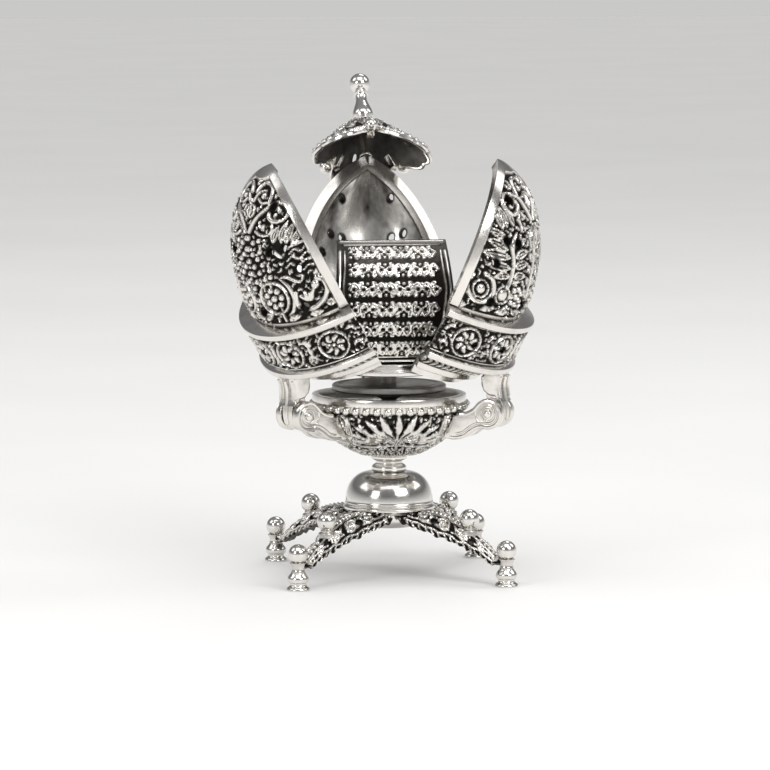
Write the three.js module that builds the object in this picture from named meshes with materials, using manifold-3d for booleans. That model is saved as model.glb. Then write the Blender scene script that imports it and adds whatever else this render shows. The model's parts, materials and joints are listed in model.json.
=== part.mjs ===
// Silver easter egg on a four-armed stand: three hinged petals open round a scroll plaque,
// and a crown rides on the back petal. Millimetres, Z up, feet on Z = 0, front seam towards -Y.
// Every petal is drawn closed, as a third of the egg, and then swung open about its own hinge.
import * as THREE from 'three';
import { mergeVertices } from 'three/addons/utils/BufferGeometryUtils.js';
import Module from 'manifold-3d';

const wasm = await Module();
wasm.setup();

// Facets round large, middle-sized and small turned pieces and drilled holes, and along a curve
const largeFacets = 27;
const middleFacets = 18;
const smallFacets = 10;
const holeFacets = 6;
const curveFacets = 4;

// Fits
const seatGap = 0.3;
const pinFit = 0.06;
const lipFit = 0.35;
const seamGap = 0.36;

// Stand
const footCircleRadius = 19.2;
const footHeight = 2.4;
const footBaseRadius = 1.55;
const armThickness = 1.2;
const armDrop = 5.0;
const armRootRadius = 5.1;
const armFlatRadius = 6.4;
const armRootHalfWidth = 4.4;
const armEndHalfWidth = 1.3;
const armNarrowing = 2.2;
const armPadRadius = 1.6;
const armLobes = 8;
const armLobeDepth = 0.4;
const armCurl = 0.6;
const armEyes = [0.2, 0.42, 0.78];
const armRibHalfWidth = 0.4;
const armRibHeight = 0.45;
const armBossRadius = 0.95;
const armBossHeight = 0.45;
const footBallRadius = 1.3;
const armBallRadius = 1.3;
const armBallCircleRadius = 13.2;
const ballSeatAngle = 57;
const hubHeight = 2.2;

// Dome and ringed neck
const domeRadius = 6.05;
const domeRingHeight = 1.2;
const domeHeight = 3.8;
const domeFullness = 0.85;
const neckRadius = 2.3;
const neckWaistRadius = 1.75;
const neckHeight = 2.2;

// Bowl
const bowlRimRadius = 10.15;
const bowlRimHeight = 1.2;
const bowlBellyRadius = 9.6;
const bowlFootRadius = 2.6;
const bowlHeight = 8.4;
const bowlWall = 0.95;
const bowlFloor = 1.5;
const bowlSwell = 1.25;
const bowlSteps = 5;
const beadRadius = 0.5;
const palmetteSlots = 5;
const palmetteStep = 18;
const palmetteSlotLength = 3.4;
const palmetteSlotWidth = 1.35;
const palmetteSlotTilt = 35;

// Egg, closed: heights are above its lowest ledge
const eggRadius = 13.25;
const eggHeight = 26.9;
const eggWall = 1.0;
const eggTaper = 1.05;
const eggSetback = 1.5;
const eggSteps = 7;
const cupDraft = 1.15;
const middleBandDraft = 0.1;
const lipDepth = 1.2;
const ledgeThickness = 0.8;
const ledgeFillet = 0.25;
const lowLedgeReach = 1.6;
const midLedgeReach = 0.7;
const midLedgeHeight = 2.7;
const mainLedgeReach = 0.6;
const mainLedgeHeight = 8.8;
const bandHeight = 0.35;
const bandWidth = 1.25;
const tipCapHeight = 3.0;
const piercingRadius = 0.45;

// Rows of piercings over the main ledge: how far up the dome, and how far round from the middle
const piercingRows = [
  { rise: 0.12, azimuths: [-34, 0, 34] },
  { rise: 0.4, azimuths: [-40, 40] },
  { rise: 0.57, azimuths: [-35, -23, 23, 35] },
  { rise: 0.83, azimuths: [-36, 36] },
];
const middleBandPiercings = [-36, -13, 13, 36];

// Hinges
const hingeReach = 0.95;
const hingeDrop = 2.2;
const pinRadius = 0.6;
const knuckleRadius = 1.25;
const knuckleHalfWidth = 1.0;
const cheekThickness = 0.9;
const voluteRadius = 2.0;
const voluteRelief = 0.32;
const bracketReach = 1.55;
const pinHeadRadius = 0.85;
const pinHeadThickness = 0.35;

// How far each petal stands open in the photograph, in degrees
const petals = [
  { name: 'left', azimuth: 210, open: 33.3 },
  { name: 'right', azimuth: 330, open: 26.8 },
  { name: 'back', azimuth: 90, open: 41 },
];

// Plaque and its carrier
const postRadius = 1.0;
const postCollarRadius = 1.8;
const postCollarHeight = 0.7;
const discThickness = 1.0;
const discRise = 1.1;
const plinthRadius = 7.4;
const plinthStepRadius = 6.7;
const plinthRise = 1.5;
const plinthTierHeight = 0.75;
const plaqueHalfWidth = 7.7;
const plaqueTopHalfWidth = 7.1;
const plaqueFootHalfWidth = 6.5;
const plaqueThickness = 1.1;
const plaqueHeight = 16.0;
const plaqueBendShare = 0.62;
const plaqueFootReach = 4.4;
const plaqueBellyReach = 6.5;
const plaqueBendReach = 6.1;
const plaqueTopReach = 2.0;

// Crown
const crownRise = 5.5;
const canopyCollarRadius = 1.6;
const canopyLobeRadius = 9.1;
const canopyValleyRadius = 4.7;
const canopyLobeTaper = 1.1;
const canopyHeight = 8.2;
const canopyWall = 0.7;
const canopyDroop = 1.1;
const canopyBulge = 1.15;
const canopyStepsPerLobe = 12;
const canopyRings = [0, 0.35, 0.7, 1];
const frillsPerLobe = 4;
const frillDepth = 0.3;
const crownBossRadius = 0.9;
const crownBossOffset = 1.2;
const pendantRadius = 0.9;
const pendantDrop = 0.4;
const pendantStrapHalfWidth = 0.55;
const finialCollarRadius = 1.3;
const finialBulbRadius = 1.47;
const finialBulbHeight = 1.5;
const finialWaistRadius = 0.78;
const finialWaistHeight = 4.2;
const finialBallRadius = 1.42;
const finialHeight = 8.5;

const silver = { color: 0xd6d3cc, roughness: 0.22, metalness: 1.0 };
const oxidised = { color: 0x9c9890, roughness: 0.42, metalness: 1.0 };

// Heights and radii that follow from the sizes above
const armEndTop = footHeight + armThickness;
const armRootTop = armEndTop + armDrop;
const armFlatEnd = footCircleRadius - armPadRadius;
const domeTop = armRootTop + domeRingHeight + domeHeight;
const bowlBottom = domeTop + neckHeight;
const bowlTop = bowlBottom + bowlHeight;
const eggBottom = bowlTop + seatGap;
const eggTop = eggBottom + eggHeight;
const eggShoulder = mainLedgeHeight + ledgeThickness + ledgeFillet;
const lipRadius = bowlRimRadius - bowlWall - lipFit;
const lowLedgeRadius = lipRadius + lowLedgeReach;
const cupTopRadius = eggRadius - cupDraft;
const midLedgeRadius = eggRadius + midLedgeReach;
const middleBandRadius = eggRadius - middleBandDraft;
const mainLedgeRadius = eggRadius + mainLedgeReach;
const shoulderRadius = eggRadius - eggSetback;
const hingeRadius = mainLedgeRadius + hingeReach;
const hingeHeight = bowlTop - hingeDrop;
const cheekInner = knuckleHalfWidth + seatGap;
const cheekOuter = cheekInner + cheekThickness;
const discTop = bowlTop + discRise;
const discRadius = lipRadius - eggWall - lipFit;
const plinthBottom = discTop + plinthRise;
const plinthTop = plinthBottom + 2 * plinthTierHeight;
const crownTop = eggTop + crownRise;
const pendantCircleRadius = canopyValleyRadius + pendantRadius + 2 * seatGap;
const pendantLevel = canopySurface(canopyValleyRadius, Math.PI / petals.length) - canopyWall - pendantDrop;

const radians = THREE.MathUtils.degToRad;
const part = new THREE.Group();

// Drops the attributes that keep vertices apart, joins them and leaves out the empty triangles.
function weld(geometry) {
  const bare = geometry.clone();
  bare.deleteAttribute('normal');
  bare.deleteAttribute('uv');
  const merged = mergeVertices(bare, 1e-5);
  const old = merged.index.array;
  const kept = [];
  for (let i = 0; i < old.length; i += 3) {
    const [a, b, c] = [old[i], old[i + 1], old[i + 2]];
    if (a !== b && b !== c && c !== a) kept.push(a, b, c);
  }
  merged.setIndex(kept);
  return merged;
}

function solid(geometry) {
  const merged = weld(geometry);
  return new wasm.Manifold(new wasm.Mesh({
    numProp: 3,
    vertProperties: new Float32Array(merged.attributes.position.array),
    triVerts: new Uint32Array(merged.index.array),
  }));
}

function geometryOf(body) {
  const mesh = body.getMesh();
  const geometry = new THREE.BufferGeometry();
  geometry.setAttribute('position', new THREE.BufferAttribute(mesh.vertProperties, 3));
  geometry.setIndex(new THREE.BufferAttribute(mesh.triVerts, 1));
  geometry.computeVertexNormals();
  return geometry;
}

function addPiece(name, geometry, look, parent = part) {
  const mesh = new THREE.Mesh(geometry, new THREE.MeshStandardMaterial(look));
  mesh.name = name;
  parent.add(mesh);
  return mesh;
}

// Turns a profile of [radius, height] points about the Z axis.
function revolve(profile, segments = largeFacets) {
  const points = profile.map(([radius, height]) => new THREE.Vector2(radius, height));
  return new THREE.LatheGeometry(points, segments).rotateX(Math.PI / 2);
}

// The arc of a ball's profile from a start angle up to its pole, as [radius, height] points.
function ballArc(radius, centre, startAngle, rings) {
  const points = [];
  for (let i = 0; i < rings; i++) {
    const angle = radians(startAngle + (90 - startAngle) * i / rings);
    points.push([radius * Math.cos(angle), centre + radius * Math.sin(angle)]);
  }
  points.push([0, centre + radius]);
  return points;
}

// A ball with a flat underside, so that it seats face to face on what carries it.
function seatedBall(radius) {
  const centre = radius * Math.sin(radians(ballSeatAngle));
  return revolve([[0, 0], ...ballArc(radius, centre, -ballSeatAngle, 5)], smallFacets);
}

// Extrudes an outline drawn in the plane of radius and height, from one place to another across it.
function radialPlate(shape, from, to) {
  const settings = { depth: to - from, bevelEnabled: false, curveSegments: curveFacets };
  return new THREE.ExtrudeGeometry(shape, settings).rotateX(Math.PI / 2).translate(0, to, 0);
}

function outline(points) {
  return new THREE.Shape(points.map(([x, y]) => new THREE.Vector2(x, y)));
}

// A round pin at the hinge's place that runs across the plane of radius and height.
function hingeRod(radius, from, to, height = hingeHeight) {
  const rod = new THREE.CylinderGeometry(radius, radius, to - from, smallFacets);
  return rod.translate(hingeRadius, (from + to) / 2, height);
}

function polar(radius, azimuth, height = 0) {
  const angle = radians(azimuth);
  return new THREE.Vector3(radius * Math.cos(angle), radius * Math.sin(angle), height);
}

// Stand arm: a leaf-shaped casting that spreads at its root, with lobed, drooping edges,
// pierced eyes and a rib, bent down towards its foot.
function armAlong(radius) {
  return THREE.MathUtils.clamp((radius - armFlatRadius) / (armFlatEnd - armFlatRadius), 0, 1);
}

function armBend(radius) {
  return armDrop * armAlong(radius) ** 2;
}

function bendArm(geometry) {
  const position = geometry.attributes.position;
  for (let i = 0; i < position.count; i++) {
    const radius = position.getX(i);
    const across = position.getY(i) / armRootHalfWidth;
    const droop = armCurl * Math.sin(armAlong(radius) * Math.PI) * across * across;
    position.setZ(i, position.getZ(i) - armBend(radius) - droop);
  }
  return geometry;
}

function armHalfWidth(along) {
  const taper = armEndHalfWidth + (armRootHalfWidth - armEndHalfWidth) * (1 - along) ** armNarrowing;
  return taper + armLobeDepth * Math.abs(Math.sin(armLobes * Math.PI * along));
}

function armOutline() {
  const length = armFlatEnd - armRootRadius;
  const steps = armLobes * 2;
  const edge = [];
  for (let i = 0; i <= steps; i++) {
    edge.push([armRootRadius + length * i / steps, armHalfWidth(i / steps)]);
  }
  edge.push([footCircleRadius, armEndHalfWidth]);
  const nearEdge = edge.map(([x, y]) => [x, -y]);
  const leaf = outline([...nearEdge, ...edge.reverse()]);
  for (const along of armEyes) {
    const centre = armRootRadius + length * along;
    const reach = armHalfWidth(along);
    for (const side of [-1, 1]) {
      const eye = new THREE.Path();
      eye.absellipse(centre, side * reach * 0.52, reach * 0.3, reach * 0.2, 0, 2 * Math.PI, false, 0);
      leaf.holes.push(eye);
    }
  }
  return leaf;
}

function armBallSeat() {
  return armRootTop - armBend(armBallCircleRadius) + armBossHeight;
}

function standArm() {
  const settings = { depth: armThickness, bevelEnabled: false, curveSegments: curveFacets - 1 };
  const plate = new THREE.ExtrudeGeometry(armOutline(), settings).translate(0, 0, armRootTop - armThickness);
  const pad = new THREE.CylinderGeometry(armPadRadius, armPadRadius, armThickness, middleFacets);
  pad.rotateX(Math.PI / 2).translate(footCircleRadius, 0, armEndTop - armThickness / 2);
  const ribStart = domeRadius + seatGap;
  const ribEnd = armBallCircleRadius - armBallRadius - seatGap;
  const rib = new THREE.BoxGeometry(ribEnd - ribStart, 2 * armRibHalfWidth, 2 * armRibHeight, 5, 1, 1);
  rib.translate((ribEnd + ribStart) / 2, 0, armRootTop);
  const bossHeight = armBossHeight + armThickness / 2;
  const boss = new THREE.CylinderGeometry(armBossRadius * 0.85, armBossRadius, bossHeight, smallFacets);
  boss.rotateX(Math.PI / 2).translate(armBallCircleRadius, 0, armBallSeat() - bossHeight / 2);
  return solid(bendArm(plate)).add(solid(bendArm(rib))).add(solid(boss)).add(solid(pad));
}

function addStand() {
  const corners = [['front_left', 225], ['front_right', 315], ['back_right', 45], ['back_left', 135]];
  const armGeometry = geometryOf(standArm());
  const neck = footBaseRadius * 0.62;
  const knob = footBaseRadius * 0.9;
  const footProfile = [
    [0, 0], [footBaseRadius, 0], [footBaseRadius, footHeight * 0.19], [neck * 1.2, footHeight * 0.32],
    [neck, footHeight * 0.48], [knob * 0.86, footHeight * 0.62], [knob, footHeight * 0.77],
    [knob * 0.86, footHeight * 0.9], [neck, footHeight], [0, footHeight],
  ];
  for (const [corner, azimuth] of corners) {
    addPiece(`stand_arm_${corner}`, armGeometry, oxidised).rotation.z = radians(azimuth);
    const foot = addPiece(`foot_${corner}`, weld(revolve(footProfile, smallFacets)), silver);
    foot.position.copy(polar(footCircleRadius, azimuth));
    const footBall = addPiece(`foot_ball_${corner}`, weld(seatedBall(footBallRadius)), silver);
    footBall.position.copy(polar(footCircleRadius, azimuth, armEndTop));
    const armBall = addPiece(`arm_ball_${corner}`, weld(seatedBall(armBallRadius)), silver);
    armBall.position.copy(polar(armBallCircleRadius, azimuth, armBallSeat()));
  }
  const hubRadius = armRootRadius - seatGap;
  const hubProfile = [
    [0, -hubHeight], [hubRadius * 0.7, -hubHeight], [hubRadius, -hubHeight * 0.6], [hubRadius, 0], [0, 0],
  ];
  addPiece('stand_hub', weld(revolve(hubProfile, middleFacets)), silver).position.z = armRootTop;
}

function addDomeAndNeck() {
  const ring = domeRadius * 0.95;
  const profile = [
    [0, 0], [domeRadius * 0.975, 0], [domeRadius, domeRingHeight * 0.17],
    [domeRadius, domeRingHeight * 0.46], [ring, domeRingHeight * 0.58], [ring, domeRingHeight * 0.75],
    [ring * 1.02, domeRingHeight * 0.87], [ring, domeRingHeight],
  ];
  const steps = 6;
  for (let i = 1; i <= steps; i++) {
    const angle = (i / steps) * Math.PI / 2;
    const radius = neckRadius + (ring - neckRadius) * Math.cos(angle) ** domeFullness;
    profile.push([radius, domeRingHeight + domeHeight * Math.sin(angle)]);
  }
  profile.push([0, domeRingHeight + domeHeight]);
  addPiece('stand_dome', weld(revolve(profile, middleFacets)), silver).position.z = armRootTop;
  const neckProfile = [
    [0, 0], [neckRadius * 0.9, 0], [neckRadius, neckHeight * 0.12], [neckRadius, neckHeight * 0.32],
    [neckRadius * 0.9, neckHeight * 0.43], [neckWaistRadius, neckHeight * 0.5],
    [neckWaistRadius, neckHeight * 0.65], [neckRadius * 0.98, neckHeight * 0.74],
    [neckRadius * 1.06, neckHeight * 0.84], [neckRadius * 1.06, neckHeight], [0, neckHeight],
  ];
  addPiece('neck', weld(revolve(neckProfile, smallFacets + 6)), silver).position.z = domeTop;
}

// Bowl: a curve that swells from the foot to the belly, as [radius, height above the bowl's foot].
function bowlCurve(footRadius, bellyRadius, bottom, top) {
  const points = [];
  for (let i = 0; i <= bowlSteps; i++) {
    const share = i / bowlSteps;
    const radius = footRadius + (bellyRadius - footRadius) * Math.sin(share * Math.PI / 2);
    points.push([radius, bottom + (top - bottom) * share ** bowlSwell]);
  }
  return points;
}

// The bowl's outside, with the half-round ring that carries the row of beads under its plain rim.
function bowlOuter(grow = 0) {
  const bead = bowlHeight - bowlRimHeight - beadRadius;
  const curve = bowlCurve(bowlFootRadius + grow, bowlBellyRadius + grow, -grow, bead - beadRadius - grow);
  const rim = bowlRimRadius + grow;
  const ring = [
    [rim, bead - beadRadius - grow], [rim + beadRadius, bead - beadRadius * 0.4],
    [rim + beadRadius, bead + beadRadius * 0.4], [rim, bead + beadRadius],
  ];
  return [[0, -grow], ...curve, ...ring, [rim, bowlHeight + grow]];
}

function bowlBody() {
  const rimInner = bowlRimRadius - bowlWall;
  const belly = bowlBellyRadius - bowlWall;
  const innerTop = bowlHeight - bowlRimHeight - 2 * beadRadius;
  const inner = bowlCurve(bowlFootRadius + bowlWall / 2, belly, bowlFloor, innerTop).reverse();
  let bowl = solid(revolve([...bowlOuter(), [rimInner, bowlHeight], ...inner, [0, bowlFloor]]));
  const slot = new THREE.Shape();
  slot.absellipse(0, 0, palmetteSlotWidth / 2, palmetteSlotLength / 2, 0, 2 * Math.PI, false, 0);
  const settings = { depth: bowlRimRadius, bevelEnabled: false, curveSegments: curveFacets - 1 };
  for (const petal of petals) {
    for (let i = 0; i < palmetteSlots; i++) {
      const offset = (i - (palmetteSlots - 1) / 2) * palmetteStep;
      const cutter = new THREE.ExtrudeGeometry(slot, settings).rotateZ(radians(-offset * 0.9));
      cutter.rotateY(Math.PI / 2).rotateX(Math.PI / 2).rotateY(radians(palmetteSlotTilt));
      cutter.translate(bowlRimRadius * 0.3, 0, bowlHeight * 0.85);
      cutter.rotateZ(radians(petal.azimuth + 180 + offset));
      bowl = bowl.subtract(solid(cutter));
    }
  }
  return bowl;
}

// Bracket: two scroll cheeks and a floor between them, cut to the bowl that carries it.
function bracketBody() {
  const root = bowlRimRadius - bracketReach;
  const at = (out, up) => [hingeRadius + out * voluteRadius, hingeHeight + up * voluteRadius];
  const rootAt = (up) => [root, hingeHeight + up * voluteRadius];
  const cheek = new THREE.Shape();
  cheek.moveTo(...rootAt(-1.7));
  cheek.quadraticCurveTo(...at(-1.8, -1.8), ...at(-1.1, -1.3));
  cheek.quadraticCurveTo(...at(-0.7, -0.95), ...at(0, -1));
  cheek.absarc(hingeRadius, hingeHeight, voluteRadius, -Math.PI / 2, radians(140), false);
  cheek.quadraticCurveTo(...at(-1.3, 0.15), ...at(-1.8, 0.05));
  cheek.lineTo(...rootAt(0.05));
  const floor = outline([rootAt(-1.7), at(-1.6, -1.6), at(-0.95, -1.1), at(-1.1, -0.85), rootAt(-0.6)]);
  let bracket = solid(radialPlate(cheek, cheekInner, cheekOuter));
  bracket = bracket.add(solid(radialPlate(cheek, -cheekOuter, -cheekInner)));
  bracket = bracket.add(solid(radialPlate(floor, -cheekOuter, cheekOuter)));
  for (const [share, relief] of [[0.88, voluteRelief / 2], [0.6, voluteRelief]]) {
    const face = cheekOuter + relief;
    bracket = bracket.add(solid(hingeRod(voluteRadius * share, cheekInner, face)));
    bracket = bracket.add(solid(hingeRod(voluteRadius * share, -face, -cheekInner)));
  }
  const bore = hingeRod(pinRadius + pinFit, -cheekOuter - voluteRadius, cheekOuter + voluteRadius);
  const clearance = revolve([...bowlOuter(seatGap), [0, bowlHeight + seatGap]]).translate(0, 0, bowlBottom);
  return bracket.subtract(solid(bore)).subtract(solid(clearance));
}

function pinGeometry() {
  const reach = cheekOuter + voluteRelief;
  const end = reach + pinHeadThickness;
  const profile = [
    [0, -end], [pinHeadRadius * 0.7, -end], [pinHeadRadius, -reach], [pinRadius, -reach],
    [pinRadius, reach], [pinHeadRadius, reach], [pinHeadRadius * 0.7, end], [0, end],
  ];
  return new THREE.LatheGeometry(profile.map(([x, y]) => new THREE.Vector2(x, y)), smallFacets);
}

// The egg over its shoulder, a pointed dome, as [radius, height above the egg's bottom].
function eggCurve(grow = 0) {
  const points = [];
  for (let i = 0; i < eggSteps; i++) {
    const angle = (i / eggSteps) * Math.PI / 2;
    const radius = shoulderRadius * Math.cos(angle) ** eggTaper + grow * Math.sqrt(Math.cos(angle));
    points.push([radius, eggShoulder + (eggHeight - eggShoulder + grow) * Math.sin(angle)]);
  }
  points.push([0, eggHeight + grow]);
  return points;
}

function eggProfile() {
  const midLedgeTop = midLedgeHeight + ledgeThickness;
  const low = [
    [lipRadius, -lipDepth], [lipRadius, 0], [lowLedgeRadius, 0],
    [lowLedgeRadius, ledgeThickness - ledgeFillet], [lowLedgeRadius - ledgeFillet, ledgeThickness],
    [cupTopRadius, midLedgeHeight - ledgeFillet / 2], [midLedgeRadius, midLedgeHeight],
    [midLedgeRadius, midLedgeTop], [middleBandRadius, midLedgeTop + ledgeFillet],
    [eggRadius, mainLedgeHeight - ledgeFillet], [mainLedgeRadius, mainLedgeHeight],
    [mainLedgeRadius, mainLedgeHeight + ledgeThickness],
  ];
  const innerLow = [
    [eggRadius - eggWall, mainLedgeHeight - eggWall], [middleBandRadius - eggWall, midLedgeTop],
    [cupTopRadius - eggWall, midLedgeHeight],
    [lipRadius - eggWall, ledgeThickness], [lipRadius - eggWall, -lipDepth],
  ];
  return [...low, ...eggCurve(), ...eggCurve(-eggWall).reverse(), ...innerLow, low[0]];
}

function petalWedge(inset) {
  const reach = 3 * eggRadius;
  const margin = lipDepth + ledgeThickness;
  const half = radians(60);
  const apex = inset / Math.sin(half);
  const wedge = outline([
    [apex, 0], [apex + reach * Math.cos(half), -reach * Math.sin(half)], [apex + reach, 0],
    [apex + reach * Math.cos(half), reach * Math.sin(half)],
  ]);
  const settings = { depth: eggHeight + 2 * margin, bevelEnabled: false };
  return new THREE.ExtrudeGeometry(wedge, settings).translate(0, 0, -margin);
}

// Raised bands along both seams and a plain tip, as a shell that follows the egg.
function seamBands(wedge) {
  const start = mainLedgeHeight + ledgeThickness / 2;
  const shell = solid(revolve([
    [shoulderRadius - eggWall / 2, start], [shoulderRadius + bandHeight, start], ...eggCurve(bandHeight),
    ...eggCurve(-eggWall / 2).reverse(), [shoulderRadius - eggWall / 2, start],
  ])).intersect(wedge);
  const field = solid(petalWedge(seamGap / 2 + bandWidth));
  const tip = new THREE.BoxGeometry(3 * eggRadius, 3 * eggRadius, 2 * tipCapHeight);
  return shell.subtract(field).add(shell.intersect(solid(tip.translate(0, 0, eggHeight))));
}

function petalBody() {
  const wedge = solid(petalWedge(seamGap / 2));
  let petal = solid(revolve(eggProfile())).intersect(wedge).add(seamBands(wedge));
  const bandMiddle = (midLedgeHeight + ledgeThickness + mainLedgeHeight) / 2;
  const rows = piercingRows.map(({ rise, azimuths }) => (
    { height: eggShoulder + (eggHeight - eggShoulder) * rise, azimuths }
  ));
  rows.push({ height: bandMiddle, azimuths: middleBandPiercings });
  for (const { height, azimuths } of rows) {
    for (const azimuth of azimuths) {
      const drill = new THREE.CylinderGeometry(piercingRadius, piercingRadius, eggRadius, holeFacets);
      drill.rotateZ(Math.PI / 2).translate(eggRadius, 0, height).rotateZ(radians(azimuth));
      petal = petal.subtract(solid(drill));
    }
  }
  return petal.add(hingeArm());
}

// The strap and knuckle under a petal, drawn in the closed egg's own heights.
function hingeArm() {
  const level = hingeHeight - eggBottom;
  const midLedgeTop = midLedgeHeight + ledgeThickness / 2;
  const arm = new THREE.Shape();
  arm.moveTo(hingeRadius - knuckleRadius * 0.8, level + knuckleRadius * 0.4);
  arm.quadraticCurveTo(hingeRadius - knuckleRadius * 1.1, 0, cupTopRadius, ledgeThickness / 2);
  arm.lineTo(cupTopRadius - eggWall / 2, midLedgeHeight / 2);
  arm.lineTo(cupTopRadius, midLedgeHeight);
  arm.lineTo(midLedgeRadius - ledgeFillet, midLedgeTop);
  const outside = hingeRadius + knuckleRadius;
  arm.quadraticCurveTo(hingeRadius, ledgeThickness, outside, level + knuckleRadius * 0.2);
  const strap = solid(radialPlate(arm, -knuckleHalfWidth, knuckleHalfWidth));
  const knuckle = solid(hingeRod(knuckleRadius, -knuckleHalfWidth, knuckleHalfWidth, level));
  const bore = solid(hingeRod(pinRadius + pinFit, -cheekInner, cheekInner, level));
  return strap.add(knuckle).subtract(bore);
}

// A group that carries what swings with one petal: drawn closed, then opened about the hinge.
function swungGroup(petal) {
  const hinge = new THREE.Group();
  hinge.position.copy(polar(hingeRadius, petal.azimuth, hingeHeight));
  hinge.quaternion.setFromAxisAngle(polar(1, petal.azimuth + 90), radians(petal.open));
  const closed = new THREE.Group();
  closed.position.copy(hinge.position).negate();
  hinge.add(closed);
  part.add(hinge);
  return closed;
}

// Crown canopy: the height of its top side, which falls away from the collar and droops to the valleys
// between its three lobes. The angle is measured from the middle of the nearest lobe.
function canopySurface(radius, fromLobe) {
  const out = (radius - canopyCollarRadius) / (canopyLobeRadius - canopyCollarRadius);
  const sag = Math.max(0, out) ** canopyBulge * canopyHeight;
  return crownTop - sag - canopyDroop * Math.min(1, 2 * out) * Math.sin(1.5 * fromLobe) ** 2;
}

function canopyRim(fromLobe) {
  const leaf = Math.max(0, Math.cos(1.5 * fromLobe)) ** canopyLobeTaper;
  const frill = frillDepth * Math.abs(Math.sin(1.5 * frillsPerLobe * fromLobe));
  return canopyValleyRadius + (canopyLobeRadius - canopyValleyRadius) * leaf + frill * leaf;
}

function canopyGeometry() {
  const around = canopyStepsPerLobe * petals.length;
  const rows = canopyRings.length;
  const points = [];
  for (const depth of [0, canopyWall]) {
    for (const share of canopyRings) {
      for (let i = 0; i < around; i++) {
        const azimuth = 2 * Math.PI * i / around;
        const fromLobe = (i % canopyStepsPerLobe) * 2 * Math.PI / around - Math.PI / petals.length;
        const radius = canopyCollarRadius + (canopyRim(fromLobe) - canopyCollarRadius) * share;
        const height = canopySurface(radius, fromLobe) - depth;
        points.push(radius * Math.cos(azimuth), radius * Math.sin(azimuth), height);
      }
    }
  }
  const faces = [];
  const quad = (a, b, c, d) => faces.push(a, b, c, a, c, d);
  const under = rows * around;
  for (let i = 0; i < around; i++) {
    const next = (i + 1) % around;
    for (let row = 0; row + 1 < rows; row++) {
      const [inner, outer] = [row * around, (row + 1) * around];
      quad(inner + i, outer + i, outer + next, inner + next);
      quad(under + inner + next, under + outer + next, under + outer + i, under + inner + i);
    }
    const rim = (rows - 1) * around;
    quad(rim + i, under + rim + i, under + rim + next, rim + next);
    faces.push(2 * under, i, next);
    faces.push(2 * under + 1, under + next, under + i);
  }
  points.push(0, 0, crownTop, 0, 0, crownTop - canopyWall);
  const geometry = new THREE.BufferGeometry();
  geometry.setAttribute('position', new THREE.Float32BufferAttribute(points, 3));
  geometry.setIndex(faces);
  return geometry.rotateZ(radians(petals[0].azimuth) - Math.PI / petals.length);
}

function crownBody() {
  const bottom = eggTop + bandHeight + seatGap;
  const top = crownTop - canopyWall * 0.7;
  const boss = new THREE.CylinderGeometry(crownBossRadius, crownBossRadius, top - bottom, smallFacets);
  boss.rotateX(Math.PI / 2).translate(0, crownBossOffset, (top + bottom) / 2);
  let crown = solid(canopyGeometry()).add(solid(boss));
  for (const petal of petals) {
    const strap = radialPlate(pendantStrap(), -pendantStrapHalfWidth, pendantStrapHalfWidth);
    crown = crown.add(solid(strap.rotateZ(radians(petal.azimuth + 180))));
  }
  return crown;
}

// A strap comes down from each valley of the canopy, and a ball sits against its foot.
function pendantStrap() {
  const under = pendantLevel + pendantDrop;
  const face = pendantCircleRadius - pendantRadius - seatGap;
  return outline([
    [canopyValleyRadius - 2 * canopyWall, under + canopyWall / 2],
    [face - canopyWall, pendantLevel - pendantRadius * 0.8], [face, pendantLevel - pendantRadius],
    [face, pendantLevel + pendantRadius], [canopyValleyRadius, under + canopyWall / 2],
  ]);
}

function finialGeometry() {
  const bulb = finialBulbRadius;
  const neckRise = finialWaistHeight - finialBulbHeight;
  const ballCentre = finialHeight - finialBallRadius;
  const profile = [
    [0, 0], [finialCollarRadius, 0], [finialCollarRadius, finialBulbHeight * 0.15],
    [bulb * 0.75, finialBulbHeight * 0.3], [bulb * 0.97, finialBulbHeight * 0.7], [bulb, finialBulbHeight],
    [bulb * 0.88, finialBulbHeight + neckRise * 0.3], [bulb * 0.66, finialBulbHeight + neckRise * 0.65],
    [finialWaistRadius, finialWaistHeight], [finialWaistRadius * 1.1, finialWaistHeight + neckRise * 0.3],
  ];
  return revolve([...profile, ...ballArc(finialBallRadius, ballCentre, -46, 5)], smallFacets);
}

function addCrown(group) {
  addPiece('crown_canopy', geometryOf(crownBody()), oxidised, group);
  for (const [index, petal] of petals.entries()) {
    const ball = revolve([[0, -pendantRadius], ...ballArc(pendantRadius, 0, -60, 5)], smallFacets);
    const pendant = addPiece(`crown_pendant_${index + 1}`, weld(ball), silver, group);
    pendant.position.copy(polar(pendantCircleRadius, petal.azimuth + 180, pendantLevel));
  }
  addPiece('finial', weld(finialGeometry()), silver, group).position.z = crownTop;
}

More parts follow.
